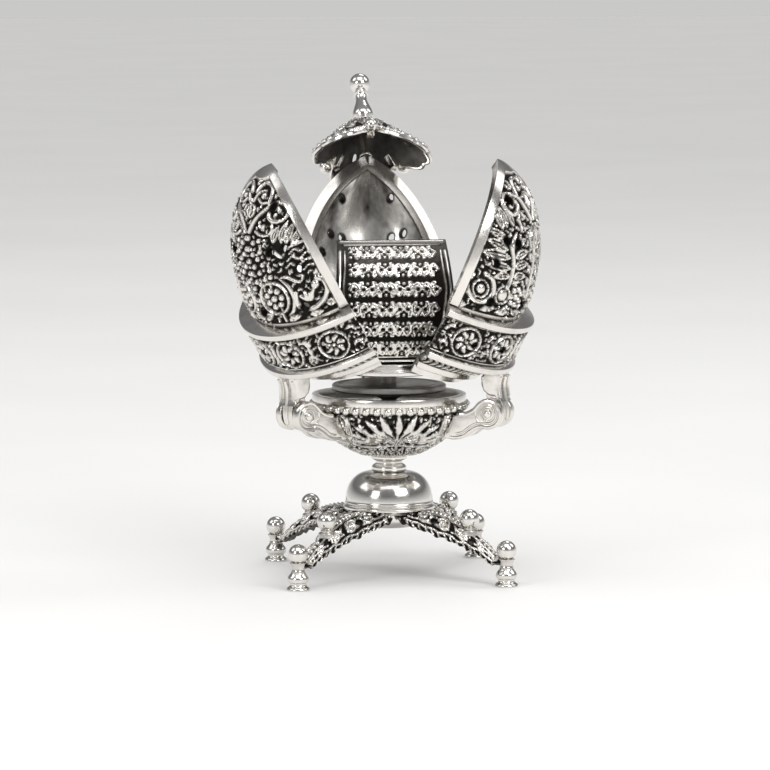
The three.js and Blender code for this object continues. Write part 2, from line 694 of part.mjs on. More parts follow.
function addPlaque() {
  const collar = discTop - discThickness;
  const floor = bowlBottom + bowlFloor;
  const postProfile = [
    [0, floor], [postCollarRadius, floor], [postCollarRadius, floor + postCollarHeight],
    [postRadius, floor + 2 * postCollarHeight], [postRadius, collar - 1.6 * postCollarHeight],
    [postCollarRadius, collar - postCollarHeight], [postCollarRadius, collar], [postRadius, collar],
    [postRadius, plinthBottom], [0, plinthBottom],
  ];
  addPiece('centre_post', weld(revolve(postProfile, smallFacets)), silver);
  const bore = postRadius + pinFit;
  const edge = discThickness * 0.25;
  const discProfile = [
    [bore, collar], [discRadius - edge, collar], [discRadius, collar + edge],
    [discRadius, discTop - edge], [discRadius - edge, discTop], [bore, discTop], [bore, collar],
  ];
  addPiece('inner_disc', weld(revolve(discProfile, middleFacets)), silver);
  const tier = plinthBottom + plinthTierHeight;
  const plinthProfile = [
    [0, plinthBottom], [plinthRadius, plinthBottom], [plinthRadius, tier], [plinthStepRadius, tier],
    [plinthStepRadius, plinthTop], [0, plinthTop],
  ];
  addPiece('plaque_plinth', weld(revolve(plinthProfile, middleFacets)), silver);
  addPiece('scroll_plaque', geometryOf(plaqueBody()), oxidised);
}

// Scroll plaque: an upright sheet that bellies forward and whose top third curls back, widest at the bend.
function plaqueBody() {
  const bend = plinthTop + plaqueHeight * plaqueBendShare;
  const belly = (plinthTop + bend) / 2;
  const top = plinthTop + plaqueHeight;
  const lean = (bend + top) / 2;
  const wall = plaqueThickness;
  const section = new THREE.Shape();
  section.moveTo(-plaqueFootReach, plinthTop);
  section.quadraticCurveTo(-plaqueBellyReach, belly, -plaqueBendReach, bend);
  section.quadraticCurveTo(-plaqueBendReach * 0.9, lean, -plaqueTopReach, top);
  section.lineTo(-plaqueTopReach + wall * 0.75, top - wall * 0.7);
  section.quadraticCurveTo(-plaqueBendReach * 0.9 + wall, lean - wall, -plaqueBendReach + wall, bend);
  section.quadraticCurveTo(-plaqueBellyReach + wall, belly, -plaqueFootReach + wall, plinthTop);
  const settings = { depth: 2 * plaqueHalfWidth, bevelEnabled: false, curveSegments: curveFacets + 1 };
  const sheet = new THREE.ExtrudeGeometry(section, settings).rotateX(Math.PI / 2);
  sheet.translate(0, plaqueHalfWidth, 0).rotateZ(Math.PI / 2);
  const shoulder = bend - plaqueThickness;
  const face = outline([
    [-plaqueFootHalfWidth, plinthTop], [plaqueFootHalfWidth, plinthTop], [plaqueHalfWidth, shoulder],
    [plaqueHalfWidth, bend], [plaqueTopHalfWidth, top + wall], [-plaqueTopHalfWidth, top + wall],
    [-plaqueHalfWidth, bend], [-plaqueHalfWidth, shoulder],
  ]);
  const frame = new THREE.ExtrudeGeometry(face, { depth: 3 * plaqueBellyReach, bevelEnabled: false });
  return solid(sheet).intersect(solid(frame.rotateX(Math.PI / 2).translate(0, plaqueBellyReach, 0)));
}

addStand();
addDomeAndNeck();
addPiece('bowl', geometryOf(bowlBody()), oxidised).position.z = bowlBottom;
addPlaque();
const bracketGeometry = geometryOf(bracketBody());
const petalGeometry = geometryOf(petalBody());
for (const petal of petals) {
  const turn = radians(petal.azimuth);
  addPiece(`bracket_${petal.name}`, bracketGeometry, silver).rotation.z = turn;
  const pin = addPiece(`hinge_pin_${petal.name}`, weld(pinGeometry()), silver);
  pin.position.copy(polar(hingeRadius, petal.azimuth, hingeHeight));
  pin.rotation.z = turn;
  const group = swungGroup(petal);
  const shell = addPiece(`petal_${petal.name}`, petalGeometry, oxidised, group);
  shell.position.z = eggBottom;
  shell.rotation.z = turn;
  if (petal.name === 'back') addCrown(group);
}

// The origin goes to the middle of the underside of the whole part's box.
part.updateMatrixWorld(true);
const box = new THREE.Box3().setFromObject(part, true);
const middle = box.getCenter(new THREE.Vector3());
part.position.set(-middle.x, -middle.y, -box.min.z);

export default part;
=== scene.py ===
import bpy
import bmesh
import json
import numpy as np
from math import radians, sin, cos, pi
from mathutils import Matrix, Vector


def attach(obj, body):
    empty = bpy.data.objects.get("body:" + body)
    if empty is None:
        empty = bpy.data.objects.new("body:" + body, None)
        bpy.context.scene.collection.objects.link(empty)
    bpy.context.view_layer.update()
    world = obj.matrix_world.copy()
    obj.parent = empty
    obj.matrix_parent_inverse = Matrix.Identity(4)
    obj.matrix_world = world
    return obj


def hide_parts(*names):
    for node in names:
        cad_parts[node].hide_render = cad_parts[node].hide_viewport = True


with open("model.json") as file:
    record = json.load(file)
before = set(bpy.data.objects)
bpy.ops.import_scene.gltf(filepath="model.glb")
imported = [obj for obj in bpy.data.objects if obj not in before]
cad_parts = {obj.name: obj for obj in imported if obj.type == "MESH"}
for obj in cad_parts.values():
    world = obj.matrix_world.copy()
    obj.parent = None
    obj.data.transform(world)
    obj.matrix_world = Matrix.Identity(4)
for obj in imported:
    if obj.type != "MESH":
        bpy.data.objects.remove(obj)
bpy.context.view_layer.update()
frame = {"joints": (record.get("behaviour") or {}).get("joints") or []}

# Pieces are drawn in millimetres about the upright axis of the closed egg, feet on Z = 0
MM = 0.001
EGG_AXIS = np.mean([joint["pos_m"] for joint in frame["joints"]], axis=0) / MM
EGG_AXIS[2] = 0
PETAL_OPEN = {joint["child"][6:]: -joint["range_deg"][0] for joint in frame["joints"]}
PETAL_AZIMUTH = {"left": 210, "right": 330, "back": 90}
ARM_AZIMUTH = {"front_left": 225, "front_right": 315, "back_right": 45, "back_left": 135}

# Stand and bowl
FOOT_CIRCLE = 19.2
FOOT_HEIGHT = 2.4
ARM_END_TOP = 3.6
ARM_ROOT_TOP = 8.6
ARM_START = 5.1
ARM_END = 18.5
ARM_FLAT_START = 6.4
ARM_FLAT_END = 17.6
BALL_RADIUS = 1.3
ARM_BALL_CIRCLE = 13.2
DOME_TOP = 13.6
BOWL_BOTTOM = 15.8
BOWL_CHART_RADIUS = 9.0
PALMETTE_FOOT = 7.5
BEAD_CIRCLE = 10.12
BEAD_HEIGHT = 22.5

# The palmettes of the bowl and the arches of the crown stand between the petals
BETWEEN_PETALS = (30, 150, 270)

# Egg
EGG_BOTTOM = 24.5
EGG_SHOULDER = 9.85
EGG_HEIGHT = 26.9
SHOULDER_RADIUS = 11.75
DOME_HEIGHT = 17.05

# Lengths up a petal's outside from its lip, where its chased bands, its dome and its plain tip lie
LOW_CHASING = (2.5, 4.85)
MIDDLE_CHASING = (8.5, 13.2)
MIDDLE_OF_BAND = 10.9
DOME_START = 16.8
TIP_START = 36.55

# Seams and hinges
PETAL_HALF_ANGLE = radians(60)
SEAM_INSET = 0.18
BAND_WIDTH = 1.25
BAND_HEIGHT = 0.35
HINGE_RADIUS = 14.8
HINGE_HEIGHT = 22.0
VOLUTE_RADIUS = 2.0

# Plaque and crown
DISC_TOP = 25.3
PLINTH_BOTTOM = 26.8
PLINTH_TOP = 28.3
PLAQUE_BEND = 38.22
PLAQUE_TOP = 44.3
CROWN_TOP = 56.9
CANOPY_COLLAR = 1.6
CANOPY_LOBE = 9.1
CANOPY_RIM = 8.45
CANOPY_TURN = 6.0
CANOPY_VALLEY = 4.7
CANOPY_HEIGHT = 8.2
CANOPY_WALL = 0.7

# Camera of the photograph: turned a little to the object's right and nearly level
VIEW_TURN = radians(7.4)
VIEW_RISE = radians(6.0)
VIEW_DISTANCE = 0.600
PIXELS_PER_MM = 7.6
PICTURE_SIDE = 770
AXIS_PIXEL = 389
FEET_PIXEL = 574


# ------------------------------------------------------------------ silver

def add_node(tree, kind, *given, **settings):
    """A node with its inputs given in order or by name: a socket is linked, any other value is set."""
    node = tree.nodes.new(kind)
    inputs = list(enumerate(given))
    for key, value in settings.items():
        if hasattr(node, key):
            setattr(node, key, value)
        else:
            inputs.append((key.replace("_", " "), value))
    for key, value in inputs:
        if isinstance(value, bpy.types.NodeSocket):
            tree.links.new(value, node.inputs[key])
        else:
            node.inputs[key].default_value = value
    return node


def color_ramp(tree, factor, *stops):
    """A ramp through stops of position and colour: its first, its last, then any between them."""
    node = add_node(tree, "ShaderNodeValToRGB", factor)
    elements = node.color_ramp.elements
    for k, (position, color) in enumerate(stops):
        element = elements[k] if k < 2 else elements.new(position)
        element.position, element.color = position, (*color, 1)
    return node.outputs["Color"]


def silver(name, polish, recess, shine, tarnish):
    """Cast silver: bright where it is rubbed, blackened where the relief attribute says it lies deep,
    darkened where that attribute carries painted shade round pierced openings.
    """
    material = bpy.data.materials.new(name)
    material.use_nodes = True
    tree = material.node_tree
    place = add_node(tree, "ShaderNodeTexCoord").outputs["Object"]
    relief = add_node(tree, "ShaderNodeAttribute", attribute_name="relief").outputs["Fac"]
    noise = lambda scale, detail: add_node(tree, "ShaderNodeTexNoise", Vector=place, Scale=scale,
                                           Detail=detail, Roughness=0.6).outputs["Fac"]
    blotches, grain = noise(420.0, 5.0), noise(3200.0, 4.0)
    spread = add_node(tree, "ShaderNodeMapRange", Value=blotches, From_Min=0.3, From_Max=0.7,
                      To_Min=-tarnish, To_Max=tarnish * 0.4).outputs["Result"]
    height = add_node(tree, "ShaderNodeMath", relief, spread, operation="ADD", use_clamp=True).outputs[0]
    color = color_ramp(tree, height, (0.05, recess), (0.95, polish),
                       (0.45, [0.3 * p + 0.5 * r for p, r in zip(polish, recess)]))
    dulling = add_node(tree, "ShaderNodeMapRange", Value=height, To_Min=0.55, To_Max=shine).outputs["Result"]
    rub = add_node(tree, "ShaderNodeMath", grain, 0.16, dulling, operation="MULTIPLY_ADD").outputs[0]
    bump = add_node(tree, "ShaderNodeBump", Height=grain, Strength=0.12, Distance=0.00006).outputs["Normal"]
    shader = tree.nodes["Principled BSDF"]
    shader.inputs["Metallic"].default_value = 1.0
    for key, value in (("Base Color", color), ("Roughness", rub), ("Normal", bump)):
        tree.links.new(value, shader.inputs[key])
    return material


SILVERS = {
    "polished_silver": silver("polished_silver", (0.76, 0.74, 0.705), (0.06, 0.056, 0.05), 0.07, 0.10),
    "oxidised_silver": silver("oxidised_silver", (0.76, 0.735, 0.695), (0.022, 0.02, 0.017), 0.09, 0.16),
}


# ------------------------------------------------------------------ a maker's kit for castings

class Casting:
    """Gathers the bodies of one piece, in millimetres, with how bright each point is: rubbed bright,
    blackened by patina, or darkened by painted shade round pierced openings.
    """

    def __init__(self):
        self.points, self.faces, self.relief, self.count = [], [], [], 0

    def add(self, body, place=None):
        points, faces, relief = body
        if place is not None:
            points = place(points)
        self.points.append(points)
        self.faces += [group + self.count for group in faces]
        self.relief.append(np.broadcast_to(relief, len(points)))
        self.count += len(points)
        return self

    def finish(self, node, work, slot, body="base", place=None):
        points = np.concatenate(self.points)
        if place is not None:
            points = place(points)
        mesh = bpy.data.meshes.new(f"{node}_{work}")
        faces = [face for group in self.faces for face in group.tolist()]
        mesh.from_pydata(((points + EGG_AXIS) * MM).tolist(), [], faces)
        mesh.attributes.new("relief", "FLOAT", "POINT").data.foreach_set(
            "value", np.concatenate(self.relief).astype(np.float32))
        finish_mesh(mesh, node, slot, body)


def finish_mesh(mesh, node, slot, body, replaces=True, edge=38):
    """Shades a mesh smooth up to an edge angle, gives it its silver, parents it to its body and hides the CAD
    part it replaces, if it replaces one.
    """
    mesh.update()
    mesh.shade_smooth()
    mesh.set_sharp_from_angle(angle=radians(edge))
    mesh.materials.clear()
    mesh.materials.append(SILVERS[slot])
    obj = bpy.data.objects.new(mesh.name, mesh)
    bpy.context.scene.collection.objects.link(obj)
    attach(obj, body)
    if replaces:
        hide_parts(node)


def turning(node, profile, around, place=None, relief=1.0, body="base"):
    """A piece that is turned all over."""
    Casting().add(turned(profile, around, relief)).finish(node, "turning", "polished_silver", body, place)


def ringed(radius, angle, height):
    """Points at a radius and an angle about the upright axis."""
    return np.stack([radius * np.cos(angle), radius * np.sin(angle), height], -1)


def turned_about(azimuth, points):
    """Points turned about the upright axis."""
    points = np.array(points, float)
    c, s = cos(radians(azimuth)), sin(radians(azimuth))
    x, y = points[..., 0].copy(), points[..., 1].copy()
    points[..., 0], points[..., 1] = c * x - s * y, s * x + c * y
    return points


def lifted(rise):
    """A place on the upright axis, at a height."""
    return lambda points: points + [0, 0, rise]


def at(radius, azimuth, height, points):
    """Points set at a radius, an azimuth and a height, and turned to face that way."""
    middle = [radius * cos(radians(azimuth)), radius * sin(radians(azimuth)), height]
    return turned_about(azimuth, points) + middle


def opened(petal, points):
    """Swings what is drawn closed, at azimuth 0, out about its hinge and round to its own bracket."""
    c, s = cos(radians(PETAL_OPEN[petal])), sin(radians(PETAL_OPEN[petal]))
    out = np.array(points, float)
    dx, dz = out[..., 0] - HINGE_RADIUS, out[..., 2] - HINGE_HEIGHT
    out[..., 0], out[..., 2] = HINGE_RADIUS + dx * c + dz * s, HINGE_HEIGHT - dx * s + dz * c
    return turned_about(PETAL_AZIMUTH[petal], out)


def with_crown(points):
    """Swings what is drawn over the closed egg along with the back petal."""
    return opened("back", turned_about(-PETAL_AZIMUTH["back"], points))


def lying(points):
    """A piece turned on Z laid along the hinge pin."""
    return np.stack([points[..., 0], points[..., 2], -points[..., 1]], -1)


def standing(points):
    """A plate drawn flat stood up in the plane of radius and height."""
    return np.stack([points[..., 0], -points[..., 2], points[..., 1]], -1)


def softened(profile, radius, steps=4):
    """Rounds the corners of a profile, whose first two columns are radius and height."""
    profile = np.asarray(profile, float)
    out = [profile[0]]
    for before, corner, after in zip(profile[:-2], profile[1:-1], profile[2:]):
        u, v = before - corner, after - corner
        lu, lv = np.hypot(*u[:2]), np.hypot(*v[:2])
        cut = min(radius, 0.45 * lu, 0.45 * lv)
        start, end = corner + u * (cut / lu), corner + v * (cut / lv)
        for t in np.linspace(0, 1, steps + 1):
            out.append((1 - t) ** 2 * start + 2 * t * (1 - t) * corner + t * t * end)
    out.append(profile[-1])
    return np.array(out)


def ball_profile(radius, centre, start, steps):
    """The outside of a ball from an angle up to its top."""
    angles = np.radians(np.linspace(start, 90, steps))
    points = [[radius * cos(a), centre + radius * sin(a)] for a in angles[:-1]]
    return points + [[0, centre + radius]]


def tube(rings, ends, relief=1.0):
    """A skin over rings of points, closed to a point at both ends, or joined up when there are none."""
    count, sides = rings.shape[:2]
    points = rings.reshape(-1, 3)
    index = np.arange(len(points)).reshape(count, sides)
    if ends is None:
        index = np.vstack([index, index[:1]])
    following = np.roll(index, -1, 1)
    quads = np.stack([index[:-1], following[:-1], following[1:], index[1:]], -1).reshape(-1, 4)
    if ends is None:
        return points, [quads], relief
    foot = np.stack([np.full(sides, len(points)), following[0], index[0]], -1)
    head = np.stack([np.full(sides, len(points) + 1), index[-1], following[-1]], -1)
    return np.vstack([points, ends]), [quads, foot, head], relief


def turned(profile, around, relief=1.0):
    """A turned piece: profile up its outside from the axis to the axis, or round a bore."""
    profile = np.asarray(profile, float)
    bored = profile[0][0] > 1e-6
    rings = profile[profile[:, 0] > 1e-6]
    if bored and np.allclose(rings[0], rings[-1]):
        rings = rings[:-1]
    angle = np.linspace(0, 2 * pi, around, endpoint=False)
    points = ringed(rings[:, :1], angle, np.repeat(rings[:, 1:2], around, 1))
    return tube(points, None if bored else [[0, 0, profile[0][1]], [0, 0, profile[-1][1]]], relief)


def wire(path, radius, closed=False):
    """A round wire laid along a path, with domed or joined ends."""
    if closed:
        tangent = np.roll(path, -1, 0) - np.roll(path, 1, 0)
    else:
        tangent = np.gradient(path, axis=0)
    tangent /= np.linalg.norm(tangent, axis=1)[:, None]
    side = np.cross(tangent[0], [0.31, 0.22, 0.92])
    sides_at = []
    for direction in tangent:
        side = side - direction * (side @ direction)
        side = side / np.linalg.norm(side)
        sides_at.append(side)
    sides_at = np.array(sides_at)
    across = np.cross(tangent, sides_at)
    angle = np.linspace(0, 2 * pi, 8, endpoint=False)
    ring = np.cos(angle)[None, :, None] * sides_at[:, None] + np.sin(angle)[None, :, None] * across[:, None]
    ends = [path[0] - tangent[0] * radius * 0.6, path[-1] + tangent[-1] * radius * 0.6]
    return tube(path[:, None] + ring * radius, None if closed else ends)


def plate(outline, thickness, bevel):
    """A flat plate sawn to its outline, with bevelled edges, centred on the plane it is drawn in."""
    sheet = bpy.data.curves.new("plate_outline", "CURVE")
    sheet.dimensions, sheet.fill_mode = "2D", "BOTH"
    spline = sheet.splines.new("POLY")
    spline.points.add(len(outline) - 1)
    for point, (x, y) in zip(spline.points, outline):
        point.co = (x, y, 0, 1)
    spline.use_cyclic_u = True
    sheet.extrude, sheet.bevel_depth = thickness / 2 - bevel, bevel
    sheet.offset, sheet.bevel_resolution = -bevel, 2
    obj = bpy.data.objects.new("plate_outline", sheet)
    bpy.context.scene.collection.objects.link(obj)
    bpy.context.view_layer.update()
    mesh = bpy.data.meshes.new_from_object(obj.evaluated_get(bpy.context.evaluated_depsgraph_get()))
    work = bmesh.new()
    work.from_mesh(mesh)
    bmesh.ops.remove_doubles(work, verts=work.verts, dist=1e-4)
    bmesh.ops.recalc_face_normals(work, faces=work.faces)
    points = np.array([v.co[:] for v in work.verts])
    faces = [np.array([[v.index for v in f.verts]]) for f in work.faces]
    work.free()
    bpy.data.objects.remove(obj)
    bpy.data.curves.remove(sheet)
    bpy.data.meshes.remove(mesh)
    return points, faces, 1.0


def lengths_along(path):
    """The length of a path up to each of its points."""
    return np.concatenate([[0], np.cumsum(np.hypot(*np.diff(path, axis=0).T))])


def read_off(wall, lengths, where):
    """The first two columns of a wall's points, read off at lengths along it."""
    return [np.interp(where, lengths, wall[:, k]) for k in (0, 1)]


def outward(grid, closed=False):
    """The way out of a surface at each point of its grid."""
    if closed:
        along = np.roll(grid, -1, 1) - np.roll(grid, 1, 1)
    else:
        along = np.gradient(grid, axis=1)
    normal = np.cross(along, np.gradient(grid, axis=0))
    return normal / np.maximum(np.linalg.norm(normal, axis=-1, keepdims=True), 1e-9)


def shell(outer, inner, bright, back, closed=False, cut=None):
    """A wall between two grids of points, bare of the cells cut away, with how bright both sides are."""
    rows, cols = outer.shape[:2]
    index = np.arange(rows * cols).reshape(rows, cols)
    following = np.roll(index, -1, 1)
    if not closed:
        index, following = index[:, :-1], following[:, :-1]
    corners = np.stack([index[:-1], following[:-1], following[1:], index[1:]], -1)
    keep = np.ones(corners.shape[:2], bool) if cut is None else ~cut
    face = corners[keep]
    total = rows * cols
    edges = np.concatenate([face[:, [k, (k + 1) % 4]] for k in range(4)])
    key = np.sort(edges, 1) @ np.array([total, 1])
    _, first, counts = np.unique(key, return_index=True, return_counts=True)
    rim = edges[first[counts == 1]]
    wall = np.stack([rim[:, 1], rim[:, 0], rim[:, 0] + total, rim[:, 1] + total], -1)
    faces = np.concatenate([face, face[:, ::-1] + total, wall])
    points = np.concatenate([outer.reshape(-1, 3), inner.reshape(-1, 3)])
    used, compact = np.unique(faces, return_inverse=True)
    relief = np.concatenate([bright.ravel(), np.broadcast_to(back, bright.shape).ravel()])
    return points[used], [compact.reshape(faces.shape)], np.clip(relief, 0, 1)[used]


def blurred(field, cells, closed=False):
    """A grid blurred over a number of its cells."""
    reach = int(3 * cells) + 1
    weights = np.exp(-0.5 * (np.arange(-reach, reach + 1) / cells) ** 2)
    weights /= weights.sum()
    for axis in (0, 1):
        mode = "wrap" if closed and axis else "edge"
        pad = [(reach, reach) if k == axis else (0, 0) for k in (0, 1)]
        padded = np.pad(field, pad, mode=mode)
        field = np.apply_along_axis(lambda row: np.convolve(row, weights, "valid"), axis, padded)
    return field


def spline_through(points, steps=6, closed=False):
    """A smooth path through points."""
    p = np.asarray(points, float)
    if len(p) == 2 and not closed:
        return np.linspace(p[0], p[1], 3)
    if closed:
        p = np.vstack([p[-1], p, p[0], p[1]])
    else:
        p = np.vstack([2 * p[0] - p[1], p, 2 * p[-1] - p[-2]])
    t = np.linspace(0, 1, steps, endpoint=False)[:, None]
    out = []
    for a, b, c, d in zip(p[:-3], p[1:-2], p[2:-1], p[3:]):
        out.append(0.5 * (2 * b + (c - a) * t + (2 * a - 5 * b + 4 * c - d) * t ** 2
                          + (3 * b - a - 3 * c + d) * t ** 3))
    if not closed:
        out.append(p[-2:-1])
    return np.concatenate(out)


class Relief:
    """Chased work on a flat chart of a surface: x across it and y up it, in millimetres."""

    def __init__(self, x, y):
        self.x, self.y = x, y
        self.height = np.zeros_like(x)
        self.cut = np.zeros(x.shape, bool)
        # painted shade round pierced openings
        self.opening_shade = np.zeros_like(x)
        self.mirrored = False

    def line(self, points, width, height=0.45, ends=(1.0, 1.0), steps=6, closed=False):
        """A round-topped stroke; its width at both ends is a share of its middle width."""
        path = spline_through(points, steps, closed)
        if closed:
            path = np.vstack([path, path[:1]])
        if self.mirrored:
            path = path * [-1, 1]
        share = np.linspace(0, 1, len(path))
        bulge = (1 - (1 - ends[0]) * np.clip(1 - 2 * share, 0, 1) ** 2
                 - (1 - ends[1]) * np.clip(2 * share - 1, 0, 1) ** 2)
        widths = width * bulge
        low, high = path.min(0) - width, path.max(0) + width
        near = (self.x > low[0]) & (self.x < high[0]) & (self.y > low[1]) & (self.y < high[1])
        if not near.any():
            return
        q = np.stack([self.x[near], self.y[near]], -1)
        a, b = path[:-1], path[1:]
        d = b - a
        length = np.maximum((d * d).sum(1), 1e-12)
        t = np.clip(((q[:, None] - a) * d).sum(-1) / length, 0, 1)
        gap = np.linalg.norm(q[:, None] - a - d * t[..., None], axis=-1)
        local = np.maximum(widths[:-1] + (widths[1:] - widths[:-1]) * t, 1e-3)
        rise = height * np.sqrt(np.clip(1 - (gap / local) ** 2, 0, 1)) * (0.55 + 0.45 * local / width)
        self.height[near] = np.maximum(self.height[near], rise.max(1))

    def bead(self, x, y, radius, height=0.5):
        self.line([(x, y), (x + 1e-3, y)], radius, height)

    def ring(self, x, y, radius, width, height, squash=1.0):
        angle = np.linspace(0, 2 * pi, 16, endpoint=False)
        self.line(np.stack([x + radius * np.cos(angle), y + squash * radius * np.sin(angle)], -1),
                  width, height, closed=True, steps=3)

    def leaf(self, base, tip, width, bend=0.0, height=0.4, veins=True):
        """A pointed leaf with a raised midrib and a rolled edge."""
        base, tip = np.asarray(base, float), np.asarray(tip, float)
        along = tip - base
        side = np.array([-along[1], along[0]]) / max(np.hypot(*along), 1e-6)
        spine = lambda t, off: base + along * t + side * (bend * 4 * t * (1 - t) + off)
        for sign in (-1, 1):
            edge = [spine(t, sign * width * sin(pi * t ** 0.8)) for t in (0, 0.25, 0.5, 0.75, 1)]
            self.line(edge, 0.2, height, (0.7, 0.5), 4)
        self.line([spine(t, 0) for t in (0, 0.4, 0.8)], width * 0.55, height * 0.55, (0.6, 0.3), 4)
        if veins:
            self.line([spine(t, 0) for t in (0, 0.45, 0.92)], 0.13, height * 0.95, (1, 0.4), 4)

    def comma(self, base, tip, bend, width, height=0.45):
        """A plump stroke that swells towards its tip."""
        base, tip = np.asarray(base, float), np.asarray(tip, float)
        along = tip - base
        side = np.array([-along[1], along[0]])
        path = [base, base + along * 0.5 + side * bend, tip]
        self.line(path, width, height, (0.25, 0.9), 5)

    def volute(self, x, y, radius, turns, start, turn, width, height, eye):
        """A scroll that winds in to a bead."""
        angles = np.linspace(0, turns * 2 * pi, int(9 * turns) + 2)
        reach = radius * (1 - 0.72 * angles / angles[-1])
        turned_by = radians(start) + turn * angles
        self.line(np.stack([x + reach * np.cos(turned_by), y + reach * np.sin(turned_by)], -1),
                  width, height, (1, 0.7), 3)
        self.bead(x, y, eye, height * 1.1)

    def rosette(self, x, y, radius, petals):
        """Plump strokes spread about one bead."""
        for a in 2 * pi * np.arange(petals) / petals:
            heel, toe = 0.3 * radius, 0.82 * radius
            self.comma((x + heel * cos(a), y + heel * sin(a)), (x + toe * cos(a), y + toe * sin(a)),
                       0.25, 0.26 * radius ** 0.5)
        self.bead(x, y, 0.24 * radius ** 0.5, 0.45 * 1.15)

    def flower(self, x, y, radius, size):
        """A ring of seven beads about one bead."""
        for a in 2 * pi * np.arange(7) / 7:
            self.bead(x + radius * cos(a), y + radius * sin(a), size, 0.55)
        self.bead(x, y, 0.5, 0.6)

    def window(self, x, y, radius_x, radius_y=None, tilt=0.0):
        """A pierced opening with a clean edge and painted shade round it: the nearest grid points are drawn
        onto it.
        """
        radius_y = radius_y or radius_x
        if self.mirrored:
            x, tilt = -x, -tilt
        c, s = cos(radians(tilt)), sin(radians(tilt))
        u, v = self.x - x, self.y - y
        a, b = (u * c + v * s) / radius_x, (-u * s + v * c) / radius_y
        far = np.hypot(a, b)
        middle = (far[:-1, :-1] + far[1:, :-1] + far[:-1, 1:] + far[1:, 1:]) / 4
        inside = middle < 1
        self.cut[:-1, :-1] |= inside
        touches_in = np.zeros_like(far, bool)
        touches_out = np.zeros_like(far, bool)
        for i in (0, 1):
            for j in (0, 1):
                rows = slice(i, far.shape[0] - 1 + i)
                cols = slice(j, far.shape[1] - 1 + j)
                touches_in[rows, cols] |= inside
                touches_out[rows, cols] |= ~inside
        edge = touches_in & touches_out & (far > 0.05)
        self.x = np.where(edge, x + u / np.maximum(far, 1e-6), self.x)
        self.y = np.where(edge, y + v / np.maximum(far, 1e-6), self.y)
        self.height = np.where(far < 1 + 0.25 / radius_x, np.minimum(self.height, 0.32), self.height)
        # Painted shade: the surface round the opening is darkened, fading out between 1.05 and 1.55 radii
        self.opening_shade = np.maximum(self.opening_shade, np.clip(1.0 - (far - 1.05) / 0.5, 0, 1))

    def fill(self, spacing, seed, where=None, size=0.3):
        """Small curled strokes wherever the chased ground is still bare."""
        rng = np.random.default_rng(seed)
        columns = np.arange(self.x.min(), self.x.max(), spacing)
        for i, y in enumerate(np.arange(self.y.min(), self.y.max(), spacing * 0.87)):
            jitter = rng.uniform(-0.15, 0.15, (len(columns), 3))
            for x, (dx, dy, lean) in zip(columns + (i % 2) * spacing / 2, jitter * spacing):
                a, b = x + dx, y + dy
                near = (np.abs(self.x - a) < size * 1.15) & (np.abs(self.y - b) < size * 1.15)
                if not near.any() or self.height[near].max() > 0.1:
                    continue
                if where is not None and not where[near].all():
                    continue
                turn = lean * 40
                step = np.array([cos(turn), sin(turn)]) * size
                self.comma((a, b) - step, (a, b) + step, 0.4, size * 0.68, 0.4)

    def brightness(self, cells, chased=1.0, closed=False):
        """Rubbed tops are bright; the ground of chased work is black, and plain work darkens beside it;
        painted shade darkens the rims of pierced openings.
        """
        hollow = blurred(self.height, cells, closed) - self.height
        plain = np.clip(1 - 3.4 * np.maximum(hollow - 0.015, 0), 0, 1)
        tops = np.clip((self.height - 0.07) / 0.24, 0, 1)
        return (plain + (tops - plain) * chased) * (1 - self.opening_shade)


def mottle(shape, cells, seed):
    """Even random patches between -1 and 1, a few cells across."""
    field = blurred(np.random.default_rng(seed).standard_normal(shape), cells)
    return np.clip(field / (2 * field.std()), -1, 1)


# ------------------------------------------------------------------ stand

def arm_top(radius):
    """Height of an arm's ridge, which falls from the hub to the foot."""
    along = np.clip((radius - ARM_FLAT_START) / (ARM_FLAT_END - ARM_FLAT_START), 0, 1)
    return ARM_ROOT_TOP - (ARM_ROOT_TOP - ARM_END_TOP) * along ** 2


def arm_section(radius):
    """Half width of an arm, how far its sides hang, and the teeth of its edge."""
    along = np.clip((radius - ARM_START) / (ARM_END - ARM_START), 0, 1)
    tooth = np.abs(np.sin(10 * pi * along + 1.6 * np.sin(9 * along))) ** 0.8
    tooth = tooth * (0.5 + 0.5 * np.sin(31 * along) ** 2)
    return 1.0 + 3.4 * (1 - along) ** 1.75, 0.3 + 1.55 * np.sin(pi * along ** 0.8) ** 0.9, tooth


